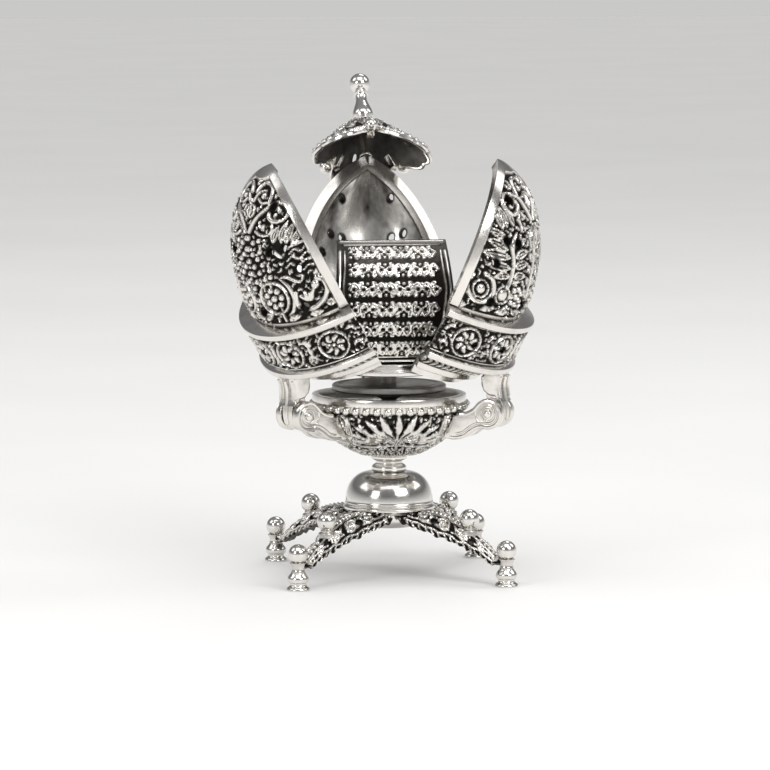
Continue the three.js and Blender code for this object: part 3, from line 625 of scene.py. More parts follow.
def stand_arm(corner):
    """One leaf-shaped arm: scrolls about pierced eyes, a beaded rib and hanging, toothed sides."""
    radius = np.linspace(ARM_START, ARM_END, 126)
    half, hang, tooth = arm_section(radius)
    share = np.linspace(1, -1, 77)
    lean = share * radians(80)
    reach = half[:, None] * np.sin(lean)[None] / sin(radians(80))
    fall = hang[:, None] * (1 - np.cos(lean))[None] / (1 - cos(radians(80)))
    rim = np.clip((np.abs(share) - 0.72) / 0.28, 0, 1)[None] * tooth[:, None]
    reach = reach + np.sign(share)[None] * rim * 0.3
    fall = fall + rim * 0.36
    step = np.hypot(np.diff(reach, axis=1), np.diff(fall, axis=1))
    across = np.concatenate([np.zeros((len(radius), 1)), np.cumsum(step, 1)], 1)
    across = across[:, 38:39] - across
    chart = Relief(across, np.repeat(radius[:, None], len(share), 1))
    edge_at = lambda r: float(np.interp(r, radius, across[:, 0]))
    for side in (False, True):
        chart.mirrored = side
        trail = np.linspace(5.5, 18.2, 15)
        for inset, thick in ((0.62, 0.15), (0.3, 0.17)):
            wavy = [(max(edge_at(r) * (1 - 0.3 * inset) - inset + 0.1 * sin(3.1 * r), 0.55), r)
                    for r in trail]
            chart.line(wavy, thick, 0.4)
        for k, r in enumerate(np.linspace(6.0, 17.8, 15)):
            w = edge_at(r)
            chart.comma((w * 0.2 + 0.25, r - 0.6), (w * 0.62, r + 0.1), 0.2 if k % 2 else -0.2, 0.2, 0.42)
            chart.comma((w * 0.8, r - 0.3), (w * 0.98, r + 0.15), -0.2, 0.17, 0.4)
        for r, size in ((7.4, 1.2), (10.2, 0.95), (12.9, 0.7), (15.6, 0.5)):
            chart.volute(edge_at(r) * 0.5, r, size, 1.3, 250, -1, 0.24, 0.54, 0.3)
        chart.line([(0.5, 5.6), (0.5, 9), (0.48, 12), (0.45, 15), (0.4, 18.2)], 0.15, 0.42)
    chart.mirrored = False
    for r in np.arange(6.5, 18.0, 0.66):
        if abs(r - ARM_BALL_CIRCLE) > 1.3:
            chart.bead(0, r, 0.3, 0.6)
    for side in (False, True):
        chart.mirrored = side
        for r, wide, tall in ((6.2, 0.4, 0.3), (8.9, 0.42, 0.4), (11.6, 0.3, 0.36), (14.3, 0.24, 0.36)):
            chart.window(edge_at(r) * 0.55, r, wide, tall)
    chart.fill(0.62, 3, size=0.2)
    column = np.array([np.interp(-x, -line, np.arange(len(share))) for x, line in zip(chart.x, across)])
    row = np.interp(chart.y, radius, np.arange(len(radius)))
    reach, fall = at_cell(reach, row, column), at_cell(fall, row, column)
    upper = np.stack([chart.y, reach, np.interp(chart.y, radius, arm_top(radius)) - fall], -1)
    normal = outward(upper)
    thick = 0.95 - 0.6 * np.abs(share)[None, :, None] ** 2
    lower = upper - normal * thick
    upper = upper + normal * (chart.height[..., None] * 0.8 - 0.1)
    bright = chart.brightness(2.6)
    seat = float(arm_top(ARM_BALL_CIRCLE))
    boss = turned(softened([[0, seat - 0.6], [1.15, seat - 0.6], [1.1, seat + 0.1], [0.8, seat + 0.2],
                            [0.85, seat + 0.45], [0, seat + 0.45]], 0.12), 40, 0.8)
    collar = turned(softened([[0, FOOT_HEIGHT], [0.96, FOOT_HEIGHT], [0.84, 2.7], [0.84, 3.1], [1.0, 3.4],
                              [1.15, ARM_END_TOP], [0, ARM_END_TOP]], 0.2), 48, 0.9)
    piece = Casting().add(shell(upper, lower, bright, 0.3, cut=chart.cut[:-1, :-1]))
    piece.add(boss, lambda p: p + [ARM_BALL_CIRCLE, 0, 0]).add(collar, lambda p: p + [FOOT_CIRCLE, 0, 0])
    piece.finish(f"stand_arm_{corner}", "leaf", "oxidised_silver",
                 place=lambda p: turned_about(ARM_AZIMUTH[corner], p))


def at_cell(grid, row, column):
    """Values of a grid between its points."""
    i, j = np.clip(row.astype(int), 0, grid.shape[0] - 2), np.clip(column.astype(int), 0, grid.shape[1] - 2)
    a, b = row - i, column - j
    low = grid[i, j] * (1 - b) + grid[i, j + 1] * b
    high = grid[i + 1, j] * (1 - b) + grid[i + 1, j + 1] * b
    return low * (1 - a) + high * a


def collared_ball(radius):
    """A ball on a low collar, flat under its foot."""
    centre = radius * sin(radians(57))
    foot = radius * cos(radians(57))
    collar = [[0, 0], [foot * 1.05, 0], [foot * 1.15, 0.1], [foot * 1.05, 0.2]]
    return collar + ball_profile(radius, centre, -47, 22)


def add_feet():
    """The four arms, each with its foot, the ball over it and the ball on its ridge."""
    foot = softened([[0, 0], [1.5, 0], [1.55, 0.16], [1.46, 0.36], [1.18, 0.55], [1.08, 0.75], [1.1, 0.92],
                     [1.3, 1.12], [1.42, 1.4], [1.38, 1.68], [1.2, 1.95], [1.0, 2.2], [0.92, FOOT_HEIGHT],
                     [0, FOOT_HEIGHT]], 0.16)
    ball = collared_ball(BALL_RADIUS)
    seat = float(arm_top(ARM_BALL_CIRCLE)) + 0.45
    for corner, azimuth in ARM_AZIMUTH.items():
        stand_arm(corner)
        turning(f"foot_{corner}", foot, 64, lambda p: at(FOOT_CIRCLE, azimuth, 0, p))
        turning(f"foot_ball_{corner}", ball, 64, lambda p: at(FOOT_CIRCLE, azimuth, ARM_END_TOP, p))
        turning(f"arm_ball_{corner}", ball, 64, lambda p: at(ARM_BALL_CIRCLE, azimuth, seat, p))


def add_hub_dome_and_neck():
    hub = softened([[0, -2.2], [3.2, -2.2], [3.5, -2.0], [4.5, -1.5], [4.8, -1.2], [4.8, 0], [0, 0]], 0.3)
    turning("stand_hub", hub, 96, lifted(ARM_ROOT_TOP))
    ring = 5.75
    dome = [[0, 0], [5.9, 0], [6.05, 0.2], [6.05, 0.55], [ring, 0.72], [5.62, 0.88], [ring, 0.98],
            [5.86, 1.06], [ring, 1.2]]
    dome = softened(dome, 0.12).tolist()
    for angle in np.radians(np.linspace(3, 90, 30)):
        dome.append([2.3 + (ring - 2.3) * max(cos(angle), 0) ** 0.85, 1.2 + 3.8 * sin(angle)])
    dome.append([0, DOME_TOP - ARM_ROOT_TOP])
    turning("stand_dome", dome, 128, lifted(ARM_ROOT_TOP))
    neck = softened([[0, 0], [2.05, 0], [2.3, 0.25], [2.3, 0.7], [2.05, 0.95], [1.75, 1.1], [1.75, 1.4],
                     [2.2, 1.6], [2.43, 1.8], [2.43, 2.2], [0, 2.2]], 0.16)
    turning("neck", neck, 96, lifted(DOME_TOP))


# ------------------------------------------------------------------ bowl

def bowl_palmette(chart, middle):
    """A plant that springs from the foot of the bowl: long branching leaves with curls at its sides."""
    foot = PALMETTE_FOOT
    spread = lambda r, lean: (middle + r * 1.2 * sin(radians(lean)), foot + r * 0.83 * cos(radians(lean)))
    chart.line([(middle, foot - 2.6), (middle, foot - 1), spread(5.8, 0)], 0.26, 0.52, (1, 0.4))
    for lean, reach in ((0, 6.2), (17, 6.3), (33, 6.2), (49, 6.3), (65, 6.1), (80, 5.4)):
        for side in (-1, 1) if lean else (1,):
            stem = [spread(0.2, 0), spread(reach * 0.3, side * lean * 0.6),
                    spread(reach * 0.55, side * lean * 0.9)]
            chart.line(stem, 0.13, 0.46, (1, 0.7))
            chart.leaf(spread(reach * 0.42, side * lean * 0.8), spread(reach, side * lean), 0.27, -0.1 * side,
                       0.48)
            if lean in (33, 65):
                chart.leaf(spread(reach * 0.5, side * lean * 0.85), spread(reach * 0.85, side * (lean - 8)),
                           0.17, 0.1 * side, 0.44)
    for side in (-1, 1):
        for x, y, radius, turns, start, turn, width, height, eye in (
                (7.4, 3.9, 1.15, 1.3, 250, 1, 0.24, 0.5, 0.32),
            (6.6, 0.6, 0.95, 1.3, 100, -1, 0.22, 0.46, 0.28),
                (2.6, -1.25, 0.6, 1.2, -60, 1, 0.17, 0.4, 0.2),
            (4.7, -1.3, 0.55, 1.2, -60, 1, 0.16, 0.4, 0.2)):
            chart.volute(middle + side * x, foot + y, radius, turns, start, turn * side, width, height, eye)
        chart.line([spread(0.2, 0), (middle + side * 2.6, foot - 0.3), (middle + side * 5.0, foot - 0.5),
                    (middle + side * 6.4, foot - 0.3)], 0.22, 0.46, (0.7, 0.9))
        chart.comma((middle + side * 6.9, foot + 2.2), (middle + side * 8.4, foot + 2.6), 0.2, 0.26)
        chart.comma((middle + side * 7.6, foot + 5.6), (middle + side * 8.9, foot + 6.1), 0.2, 0.26)
        chart.bead(middle + side * 8.6, foot + 1.0, 0.36)
        chart.bead(middle + side * 5.9, foot + 6.2, 0.34)
    chart.bead(middle, foot, 0.42, 0.56)


def bowl():
    """The pierced bowl: palmettes between the petals, leaves under them and a plain rim."""
    outer = [[0.02, 0], [2.45, 0], [2.6, 0.1]]
    inner = [[0.02, 1.5], [2.9, 1.5], [3.05, 1.52]]
    for share in np.linspace(0.02, 1, 56):
        outer.append([2.6 + 7.0 * sin(share * pi / 2), 6.2 * share ** 1.25])
        inner.append([3.075 + 5.575 * sin(share * pi / 2), 1.55 + 4.65 * share ** 1.25])
    rim = [([9.75, 6.3], [8.75, 6.3]), ([9.9, 6.45], [8.95, 6.5]), ([9.95, 6.9], [9.1, 6.8]),
           ([10.02, 7.15], [9.2, 7.1]), ([10.13, 7.25], [9.2, 7.2]), ([10.15, 7.4], [9.2, 7.4]),
           ([10.15, 8.05], [9.2, 8.1]), ([10.1, 8.16], [9.24, 8.17]), ([9.98, 8.2], [9.4, 8.2])]
    outer += [pair[0] for pair in rim]
    inner += [pair[1] for pair in rim]
    outer, inner = np.array(outer), np.array(inner)
    arc = lengths_along(outer)
    around = 432
    angle = np.linspace(0, 2 * pi, around, endpoint=False)
    chart = Relief(np.repeat(angle[None] * BOWL_CHART_RADIUS, len(outer), 0),
                   np.repeat(arc[:, None], around, 1))
    for azimuth in BETWEEN_PETALS:
        middle = radians(azimuth) * BOWL_CHART_RADIUS
        bowl_palmette(chart, middle)
        for side in (-1, 1):
            edge = middle + side * 8.9
            for base, low, tip, high, width in ((0.4, 6.6, 1.3, 12.0, 0.5), (1.5, 8.0, 2.4, 12.1, 0.4)):
                chart.leaf((edge - side * base, low), (edge - side * tip, high), width, 0.2 * side)
    for azimuth in BETWEEN_PETALS:
        middle = radians(azimuth) * BOWL_CHART_RADIUS
        for lean, wide, tall in ((9, 0.24, 0.6), (25, 0.26, 0.56), (41, 0.26, 0.5), (57, 0.26, 0.42)):
            for side in (-1, 1):
                across, up = side * 5.6 * sin(radians(lean)), PALMETTE_FOOT + 3.9 * cos(radians(lean))
                chart.window(middle + across, up, wide, tall, -side * lean)
                chart.window(middle + side * 8.2, 9.8, 0.36)
    zone = (np.clip((arc - 3.4) / 0.4, 0, 1) * np.clip((12.72 - arc) / 0.15, 0, 1))[:, None] * np.ones(around)
    chart.fill(0.85, 4, zone > 0.5, 0.3)
    chart.fill(0.6, 5, zone > 0.5, 0.2)
    chart.height *= zone
    turn = chart.x / BOWL_CHART_RADIUS
    out, hollow = (ringed(radius, turn, height) for radius, height in
                   (read_off(wall, arc, chart.y) for wall in (outer, inner)))
    out = out + outward(out, True) * (chart.height[..., None] * 0.8)
    bright = chart.brightness(3.0, zone, True)
    Casting().add(shell(out, hollow, bright, 0.75, True, chart.cut[:-1])).finish(
        "bowl", "casting", "oxidised_silver", place=lifted(BOWL_BOTTOM))


def bead_row_tree():
    """Geometry nodes: a row of beads set evenly along the edges it is given."""
    tree = bpy.data.node_groups.new("bead_row", "GeometryNodeTree")
    for label, kind in (("Geometry", "Geometry"), ("Bead Radius", "Float"), ("Bead Count", "Int"),
                        ("Bead Facets", "Int"), ("Silver", "Material")):
        tree.interface.new_socket(label, in_out="INPUT", socket_type=f"NodeSocket{kind}")
    tree.interface.new_socket("Geometry", in_out="OUTPUT", socket_type="NodeSocketGeometry")
    given = add_node(tree, "NodeGroupInput").outputs
    path = add_node(tree, "GeometryNodeMeshToCurve", Mesh=given["Geometry"]).outputs["Curve"]
    spaced = add_node(tree, "GeometryNodeResampleCurve", Curve=path,
                      Count=given["Bead Count"]).outputs["Curve"]
    bead = add_node(tree, "GeometryNodeMeshIcoSphere", Radius=given["Bead Radius"],
                    Subdivisions=given["Bead Facets"]).outputs["Mesh"]
    spread = add_node(tree, "GeometryNodeInstanceOnPoints", Points=spaced, Instance=bead).outputs["Instances"]
    real = add_node(tree, "GeometryNodeRealizeInstances", Geometry=spread).outputs["Geometry"]
    row = add_node(tree, "GeometryNodeSetMaterial", Geometry=real,
                   Material=given["Silver"]).outputs["Geometry"]
    add_node(tree, "NodeGroupOutput", Geometry=row)
    return tree


BEAD_ROW = bead_row_tree()


def bead_row(name, path, radius, count, body="base", facets=3):
    """Beads of one radius round a closed path in millimetres, made a plain mesh."""
    path = (path + EGG_AXIS) * MM
    host_mesh = bpy.data.meshes.new(name + "_path")
    host_mesh.from_pydata(path.tolist(), [(k, (k + 1) % len(path)) for k in range(len(path))], [])
    host = bpy.data.objects.new(name + "_path", host_mesh)
    bpy.context.scene.collection.objects.link(host)
    modifier = host.modifiers.new("beads", "NODES")
    modifier.node_group = BEAD_ROW
    sockets = {item.name: item.identifier for item in BEAD_ROW.interface.items_tree if item.in_out == "INPUT"}
    for label, value in (("Bead Radius", radius * MM), ("Bead Count", count), ("Bead Facets", facets),
                         ("Silver", SILVERS["polished_silver"])):
        modifier[sockets[label]] = value
    bpy.context.view_layer.update()
    mesh = bpy.data.meshes.new_from_object(host.evaluated_get(bpy.context.evaluated_depsgraph_get()))
    mesh.name = name
    host.modifiers.remove(modifier)
    bpy.data.objects.remove(host)
    bpy.data.meshes.remove(host_mesh)
    mesh.attributes.new("relief", "FLOAT", "POINT").data.foreach_set(
        "value", np.ones(len(mesh.vertices), np.float32))
    finish_mesh(mesh, name, "polished_silver", body, replaces=False, edge=80)


def bowl_beads():
    angle = np.linspace(0, 2 * pi, 176, endpoint=False)
    bead_row("bowl_bead_row", ringed(BEAD_CIRCLE, angle, np.full(len(angle), BEAD_HEIGHT)), 0.56, 44)


# ------------------------------------------------------------------ brackets and pins

def bracket(name):
    """A fork of two scroll cheeks on the bowl, ridged round the eye of the hinge."""
    v, r, h = VOLUTE_RADIUS, HINGE_RADIUS, HINGE_HEIGHT
    against_bowl = [(10.95, 22.1), (10.6, 21.72), (9.95, 21.6), (9.7, 20.9), (9.3, 20.1), (8.75, 19.3),
                    (8.6, 18.6)]
    under = spline_through([(8.6, 18.6), (10.2, 18.5), (11.6, 18.8), (12.8, 19.65), (13.7, 20.05),
                            (14.8, 20.0)], 5).tolist()
    arc = [(r + v * cos(a), h + v * sin(a)) for a in np.radians(np.linspace(-86, 140, 40))]
    back = spline_through([arc[-1], (12.6, 22.6), (11.6, 22.15), (10.95, 22.1)], 5).tolist()
    outline = under + arc + back[1:-1] + against_bowl[:-1]
    piece = Casting()
    eye = softened([[0, -0.46], [1.82, -0.46], [1.92, -0.2], [1.92, 0.42], [1.8, 0.6], [1.64, 0.56],
                    [1.52, 0.36], [1.1, 0.36], [1.02, 0.56], [0.86, 0.6], [0.76, 0.44], [0.7, 0.36],
                    [0, 0.36]], 0.07, 3)
    for side in (-1, 1):
        middle = side * 1.75
        piece.add(plate(outline, 0.9, 0.14), lambda p: standing(p) + [0, middle, 0])
        face = side * 2.2
        for inset, thick, path in ((0.26, 0.27, under[3:] + arc + back[1:]),
                                   (0.78, 0.17, under[6:] + arc[:30])):
            rows = np.array([(x, face, z) for x, z in path], float)
            ahead = np.gradient(rows, axis=0)
            inward = np.stack([-ahead[:, 2], np.zeros(len(rows)), ahead[:, 0]], -1)
            inward /= np.linalg.norm(inward, axis=1)[:, None]
            piece.add(wire(rows + inward * inset, thick))
        flip = (lambda p: p) if side > 0 else (lambda p: p * [1, -1, -1])
        piece.add(turned(eye, 64), lambda p: flip(lying(p)) + [r, middle, h])
    floor = [(8.6, 18.6), (10.2, 18.5), (11.6, 18.8), (12.85, 19.75), (12.6, 20.3), (9.5, 20.75), (9.3, 20.1),
             (8.75, 19.3)]
    piece.add(plate(floor, 4.2, 0.2), standing)
    piece.finish(f"bracket_{name}", "scroll", "oxidised_silver",
                 place=lambda p: turned_about(PETAL_AZIMUTH[name], p))


def hinge_pin(name):
    """A pin with a head at each end."""
    reach = 2.52
    pin = softened([[0, -reach - 0.15], [0.3, -reach - 0.15], [0.52, -reach], [0.56, -reach + 0.2],
                    [0.5, -reach + 0.4], [0.5, reach - 0.4], [0.56, reach - 0.2], [0.52, reach],
                    [0.3, reach + 0.15], [0, reach + 0.15]], 0.08, 3)
    turning(f"hinge_pin_{name}", pin, 40,
            lambda p: turned_about(PETAL_AZIMUTH[name], lying(p) + [HINGE_RADIUS, 0, HINGE_HEIGHT]))


# ------------------------------------------------------------------ petals

def petal_profile():
    """The egg's outside and inside, from the lip up, with the length along the outside."""
    key = np.array([
        [8.85, -1.2, -1.2], [8.85, 0, 0], [10.45, 0, 1.6], [10.45, 0.8, 2.4], [12.1, 2.7, 4.92],
        [13.95, 2.7, 6.77], [13.95, 3.5, 7.57], [13.15, 3.75, 8.4], [13.25, 8.6, 13.26], [13.85, 8.8, 13.89],
        [13.85, 9.6, 14.69], [SHOULDER_RADIUS, EGG_SHOULDER, DOME_START]])
    low = softened(key, 0.16, 3)[:-1]
    theta = np.radians(np.linspace(0, 88.6, 150))
    dome = np.stack([SHOULDER_RADIUS * np.cos(theta) ** 1.05, EGG_SHOULDER + DOME_HEIGHT * np.sin(theta)], -1)
    arc = DOME_START + lengths_along(dome)
    rows = [low[0]]
    for a, b in zip(low[:-1], low[1:]):
        chased = 2.4 < (a[2] + b[2]) / 2 < 4.92 or 8.4 < (a[2] + b[2]) / 2 < 13.26
        parts = max(1, int(np.ceil(np.hypot(*(b - a)[:2]) / (0.16 if chased else 0.6))))
        rows += [a + (b - a) * k / parts for k in range(1, parts + 1)]
    level = np.concatenate([np.arange(DOME_START, arc[-1], 0.155), [arc[-1]]])
    rows += [[*read_off(dome, arc, s), s] for s in level]
    rows = np.array(rows)
    inside = np.array([
        [-1.2, 7.85, -1.2], [0, 7.85, -0.3], [1.6, 7.85, 0.2], [2.4, 7.9, 0.8], [4.92, 11.1, 2.6],
        [6.77, 11.35, 2.85], [7.57, 11.9, 3.3], [8.4, 12.15, 3.6], [13.26, 12.25, 7.7], [13.89, 11.95, 8.4],
        [14.69, 11.4, 9.1], [DOME_START, 10.75, EGG_SHOULDER]])
    inner = np.stack([np.interp(rows[:, 2], inside[:, 0], inside[:, k]) for k in (1, 2)], -1)
    high = rows[:, 2] > DOME_START
    swing = np.arcsin(np.clip((rows[high, 1] - EGG_SHOULDER) / DOME_HEIGHT, 0, 1))
    cosine = np.cos(swing)
    inner[high] = np.stack([np.maximum(SHOULDER_RADIUS * cosine ** 1.05 - np.sqrt(cosine), 0.24),
                            EGG_SHOULDER + (DOME_HEIGHT - 1) * np.sin(swing)], -1)
    return rows, inner


def chase_left(c):
    """The left petal's scrolls from its middle to its front seam."""
    c.line([(0.5, 34.9), (0.9, 35.7), (1.7, 36.0), (2.7, 35.3), (3.2, 34.2), (3.1, 33.1)], 0.3)
    c.line([(0.4, 33.6), (0.9, 34.6), (1.5, 34.9), (2.1, 34.8)], 0.2, 0.4)
    c.bead(1.95, 34.2, 0.42)
    c.line([(1.2, 33.9), (1.9, 33.3), (2.7, 33.2)], 0.2, 0.4)
    c.ring(0.35, 32.4, 0.62, 0.17, 0.42, 1.25)
    c.bead(0.35, 32.4, 0.3)
    c.line([(0, 33.9), (0.1, 33.3)], 0.2)
    c.line([(0.4, 29.7), (0.9, 30.6), (1.6, 31.5), (2.6, 32.2), (3.8, 32.7), (5.2, 32.5), (6.2, 31.6),
            (6.2, 30.6), (5.3, 30.3), (4.2, 30.6), (3.5, 31.3), (3.7, 32.0), (4.5, 32.1), (5.1, 31.5)], 0.3,
           0.5)
    c.bead(4.5, 31.2, 0.34)
    c.comma((3.9, 33.3), (4.6, 34.1), 0.2, 0.34)
    c.comma((5.3, 33.3), (6.1, 33.0), 0.2, 0.28)
    c.line([(1.6, 29.7), (2.4, 29.2), (3.5, 29.0), (4.2, 29.5), (4.1, 30.1)], 0.24)
    c.bead(2.8, 30.2, 0.34)
    c.line([(2.2, 30.9), (2.3, 30.3), (2.9, 29.7)], 0.18)
    for base, tip, bend in (((5.6, 27.6), (6.5, 30.0), 0.25), ((6.2, 27.2), (7.6, 29.6), 0.2),
                            ((7.0, 27.1), (8.3, 28.8), -0.2), ((4.4, 27.9), (5.2, 29.8), 0.2)):
        c.leaf(base, tip, 0.42, bend)
    c.line([(4.0, 27.4), (4.7, 26.5), (5.5, 25.9), (6.2, 26.6), (7.4, 26.9), (8.7, 26.8)], 0.24)
    for y, x0, x1 in ((26.0, 6.6, 9.2), (25.2, 6.2, 9.8), (24.4, 5.9, 9.9), (23.7, 6.6, 9.6)):
        c.line([(x0, y), (x0 + 0.8, y + 0.35), (x0 + 1.6, y - 0.2), ((x0 + x1) / 2 + 0.9, y + 0.2),
                (x1, y - 0.1)], 0.2, 0.42)
    for x, y in ((9.6, 24.8), (9.9, 25.6), (8.9, 27.5), (10.2, 24.0), (7.2, 25.7), (8.2, 24.9)):
        c.bead(x, y, 0.28)
    c.line([(5.0, 23.4), (5.8, 23.2), (6.6, 22.6), (7.4, 22.2), (7.9, 22.7), (7.2, 23.2)], 0.24)
    c.leaf((9.4, 22.6), (10.9, 22.4), 0.35, 0.1)
    c.bead(9.2, 21.2, 0.62, 0.6)
    c.line([(9.6, 22.0), (10.4, 21.3), (10.5, 20.1), (9.7, 19.0), (8.2, 18.4), (6.8, 18.6), (6.1, 19.6),
            (6.3, 20.9)], 0.38, 0.55)
    for k in range(4):
        c.comma((8.3, 19.4), (6.9 + 0.62 * k, 20.4 + 0.25 * (k % 2)), 0.1, 0.3)
    c.leaf((9.8, 18.3), (11.0, 18.1), 0.34)
    c.leaf((7.2, 17.6), (8.9, 17.5), 0.3)
    c.ring(3.0, 20.8, 2.15, 0.24, 0.5)
    c.flower(3.0, 20.8, 1.15, 0.46)
    c.line([(4.6, 23.3), (5.6, 22.0), (5.9, 20.3), (5.2, 18.8), (4.2, 18.2)], 0.34, 0.38, (0.4, 0.4))
    c.line([(3.5, 18.6), (3.5, 17.5)], 0.2)
    c.leaf((0.3, 17.7), (1.8, 18.7), 0.34, 0.2)
    c.leaf((4.0, 17.5), (5.8, 17.8), 0.28, 0.1)
    for x, y in ((1.1, 28.3), (0.9, 26.8), (2.2, 27.1), (0.9, 25.2), (2.4, 25.4), (0.8, 23.2), (2.4, 23.5),
                 (0.2, 27.5), (0.1, 25.9), (1.7, 26.2), (0.2, 24.3), (1.7, 24.4), (3.4, 24.6), (0.0, 22.3),
                 (1.5, 22.9), (3.6, 26.2), (0.2, 20.6), (0.1, 19.2), (2.1, 28.5), (3.3, 23.7), (0.2, 28.9)):
        c.bead(x, y, 0.4, 0.5)


def chase_right(c):
    """The right petal's scrolls and fronds from its middle to its front seam, drawn mirrored."""
    c.ring(3.1, 34.5, 0.42, 0.16, 0.42, 1.4)
    c.line([(2.2, 33.2), (2.1, 34.5), (1.4, 35.6), (0.3, 35.9), (0.0, 35.2)], 0.3)
    c.bead(1.1, 34.3, 0.42)
    c.line([(0.2, 33.8), (0.9, 33.2), (1.7, 32.9)], 0.2)
    c.leaf((0.0, 31.6), (0.0, 33.6), 0.4)
    c.line([(0.4, 30.2), (1.3, 31.8), (2.1, 32.9), (3.2, 33.2), (4.6, 32.8), (5.3, 31.8), (4.9, 30.8),
            (4.0, 30.5), (3.1, 31.1), (2.8, 32.0), (3.4, 32.5), (4.2, 32.2)], 0.3, 0.5)
    c.bead(4.1, 31.4, 0.34)
    c.line([(3.0, 30.9), (3.2, 30.0), (3.0, 29.3), (2.2, 29.0), (1.3, 29.2)], 0.24)
    c.line([(2.1, 30.3), (2.5, 30.9)], 0.22)
    c.leaf((4.4, 29.0), (5.6, 31.4), 0.32, 0.2)
    c.leaf((5.6, 28.6), (6.5, 31.2), 0.4, 0.2)
    c.leaf((6.3, 28.2), (7.2, 30.4), 0.4, 0.15)
    c.line([(4.9, 21.0), (4.6, 22.4), (4.5, 24.0), (4.7, 25.2), (5.1, 26.4), (5.9, 27.3), (6.6, 27.9)], 0.3,
           0.5, (1, 0.5))
    c.line([(4.8, 25.8), (4.6, 27.1), (3.9, 28.3)], 0.26, 0.45, (1, 0.4))
    for base, tip, width in (((6.2, 27.1), (8.6, 27.6), 0.42), ((5.6, 25.8), (8.9, 26.3), 0.5),
                             ((5.1, 24.9), (9.7, 24.6), 0.55), ((4.9, 23.6), (8.9, 23.2), 0.48),
                             ((4.9, 22.6), (7.4, 22.0), 0.4)):
        c.leaf(base, tip, width, 0.15)
    for base, tip, width in (((4.2, 26.4), (2.2, 27.6), 0.4), ((4.2, 25.0), (1.6, 26.1), 0.45),
                             ((4.2, 23.8), (1.4, 24.5), 0.45), ((4.2, 22.6), (1.6, 22.8), 0.42),
                             ((1.2, 27.4), (0.4, 29.3), 0.35)):
        c.leaf(base, tip, width, -0.15)
    c.line([(0, 28.6), (0.1, 26), (0, 23), (0, 20)], 0.2, 0.4)
    for y in (27.0, 25.4, 23.8, 22.2, 20.6):
        c.leaf((0.2, y - 0.7), (1.2, y + 0.5), 0.3)
    c.line([(10.4, 21.6), (10.9, 20.4), (10.3, 19.1), (8.9, 18.4), (7.5, 18.9), (7.0, 20.2), (7.5, 21.6),
            (8.7, 22.1)], 0.36, 0.55)
    c.bead(8.9, 20.1, 0.66, 0.62)
    c.ring(8.9, 20.1, 1.1, 0.18, 0.4)
    c.bead(5.3, 20.0, 0.85, 0.5)
    c.ring(5.3, 20.0, 1.15, 0.16, 0.4)
    c.flower(2.7, 20.0, 1.05, 0.44)
    for base, tip in (((10.2, 17.5), (11.4, 17.3)), ((6.0, 18.2), (8.0, 17.5)), ((3.4, 17.9), (5.4, 17.6)),
                      ((0.4, 18.0), (2.4, 17.7))):
        c.leaf(base, tip, 0.3)
    for x, y in ((9.7, 23.6), (9.3, 22.8), (9.9, 25.5), (3.4, 29.9), (8.8, 28.4), (1.6, 28.4), (3.0, 28.9)):
        c.bead(x, y, 0.28)


def chase_bands(c, roundels):
    """Roundels and scrolls of the middle band, and the slanted scrolls of the low band."""
    for x in roundels:
        c.ring(x, MIDDLE_OF_BAND, 1.95, 0.2, 0.45)
        c.rosette(x, MIDDLE_OF_BAND, 1.6, 7)
    spots = sorted([-x for x in roundels] + list(roundels))
    for a, b in zip(spots[:-1], spots[1:]):
        m = (a + b) / 2
        if c.mirrored or m < -0.1:
            continue
        for s in (-1, 1):
            c.line([(m + s * x, y) for x, y in ((0.9, 12.6), (0.2, 12.1), (-0.1, 11.0), (0.2, 9.8),
                                                (0.9, 9.2))],
                   0.22, 0.42, (0.5, 0.5))
        for y in (9.3, 12.5):
            c.bead(m, y, 0.3)
    for x in (5.9, 12.4):
        for y, lean in ((9.5, 0.5), (12.3, -0.5)):
            c.comma((x - 0.6, y), (x + 0.6, y + lean), 0.3, 0.28)
    for k in range(14):
        x = 0.45 + 0.88 * k
        c.comma((x - 0.2, 2.8), (x + 0.3, 4.5), 0.25, 0.26, 0.35)


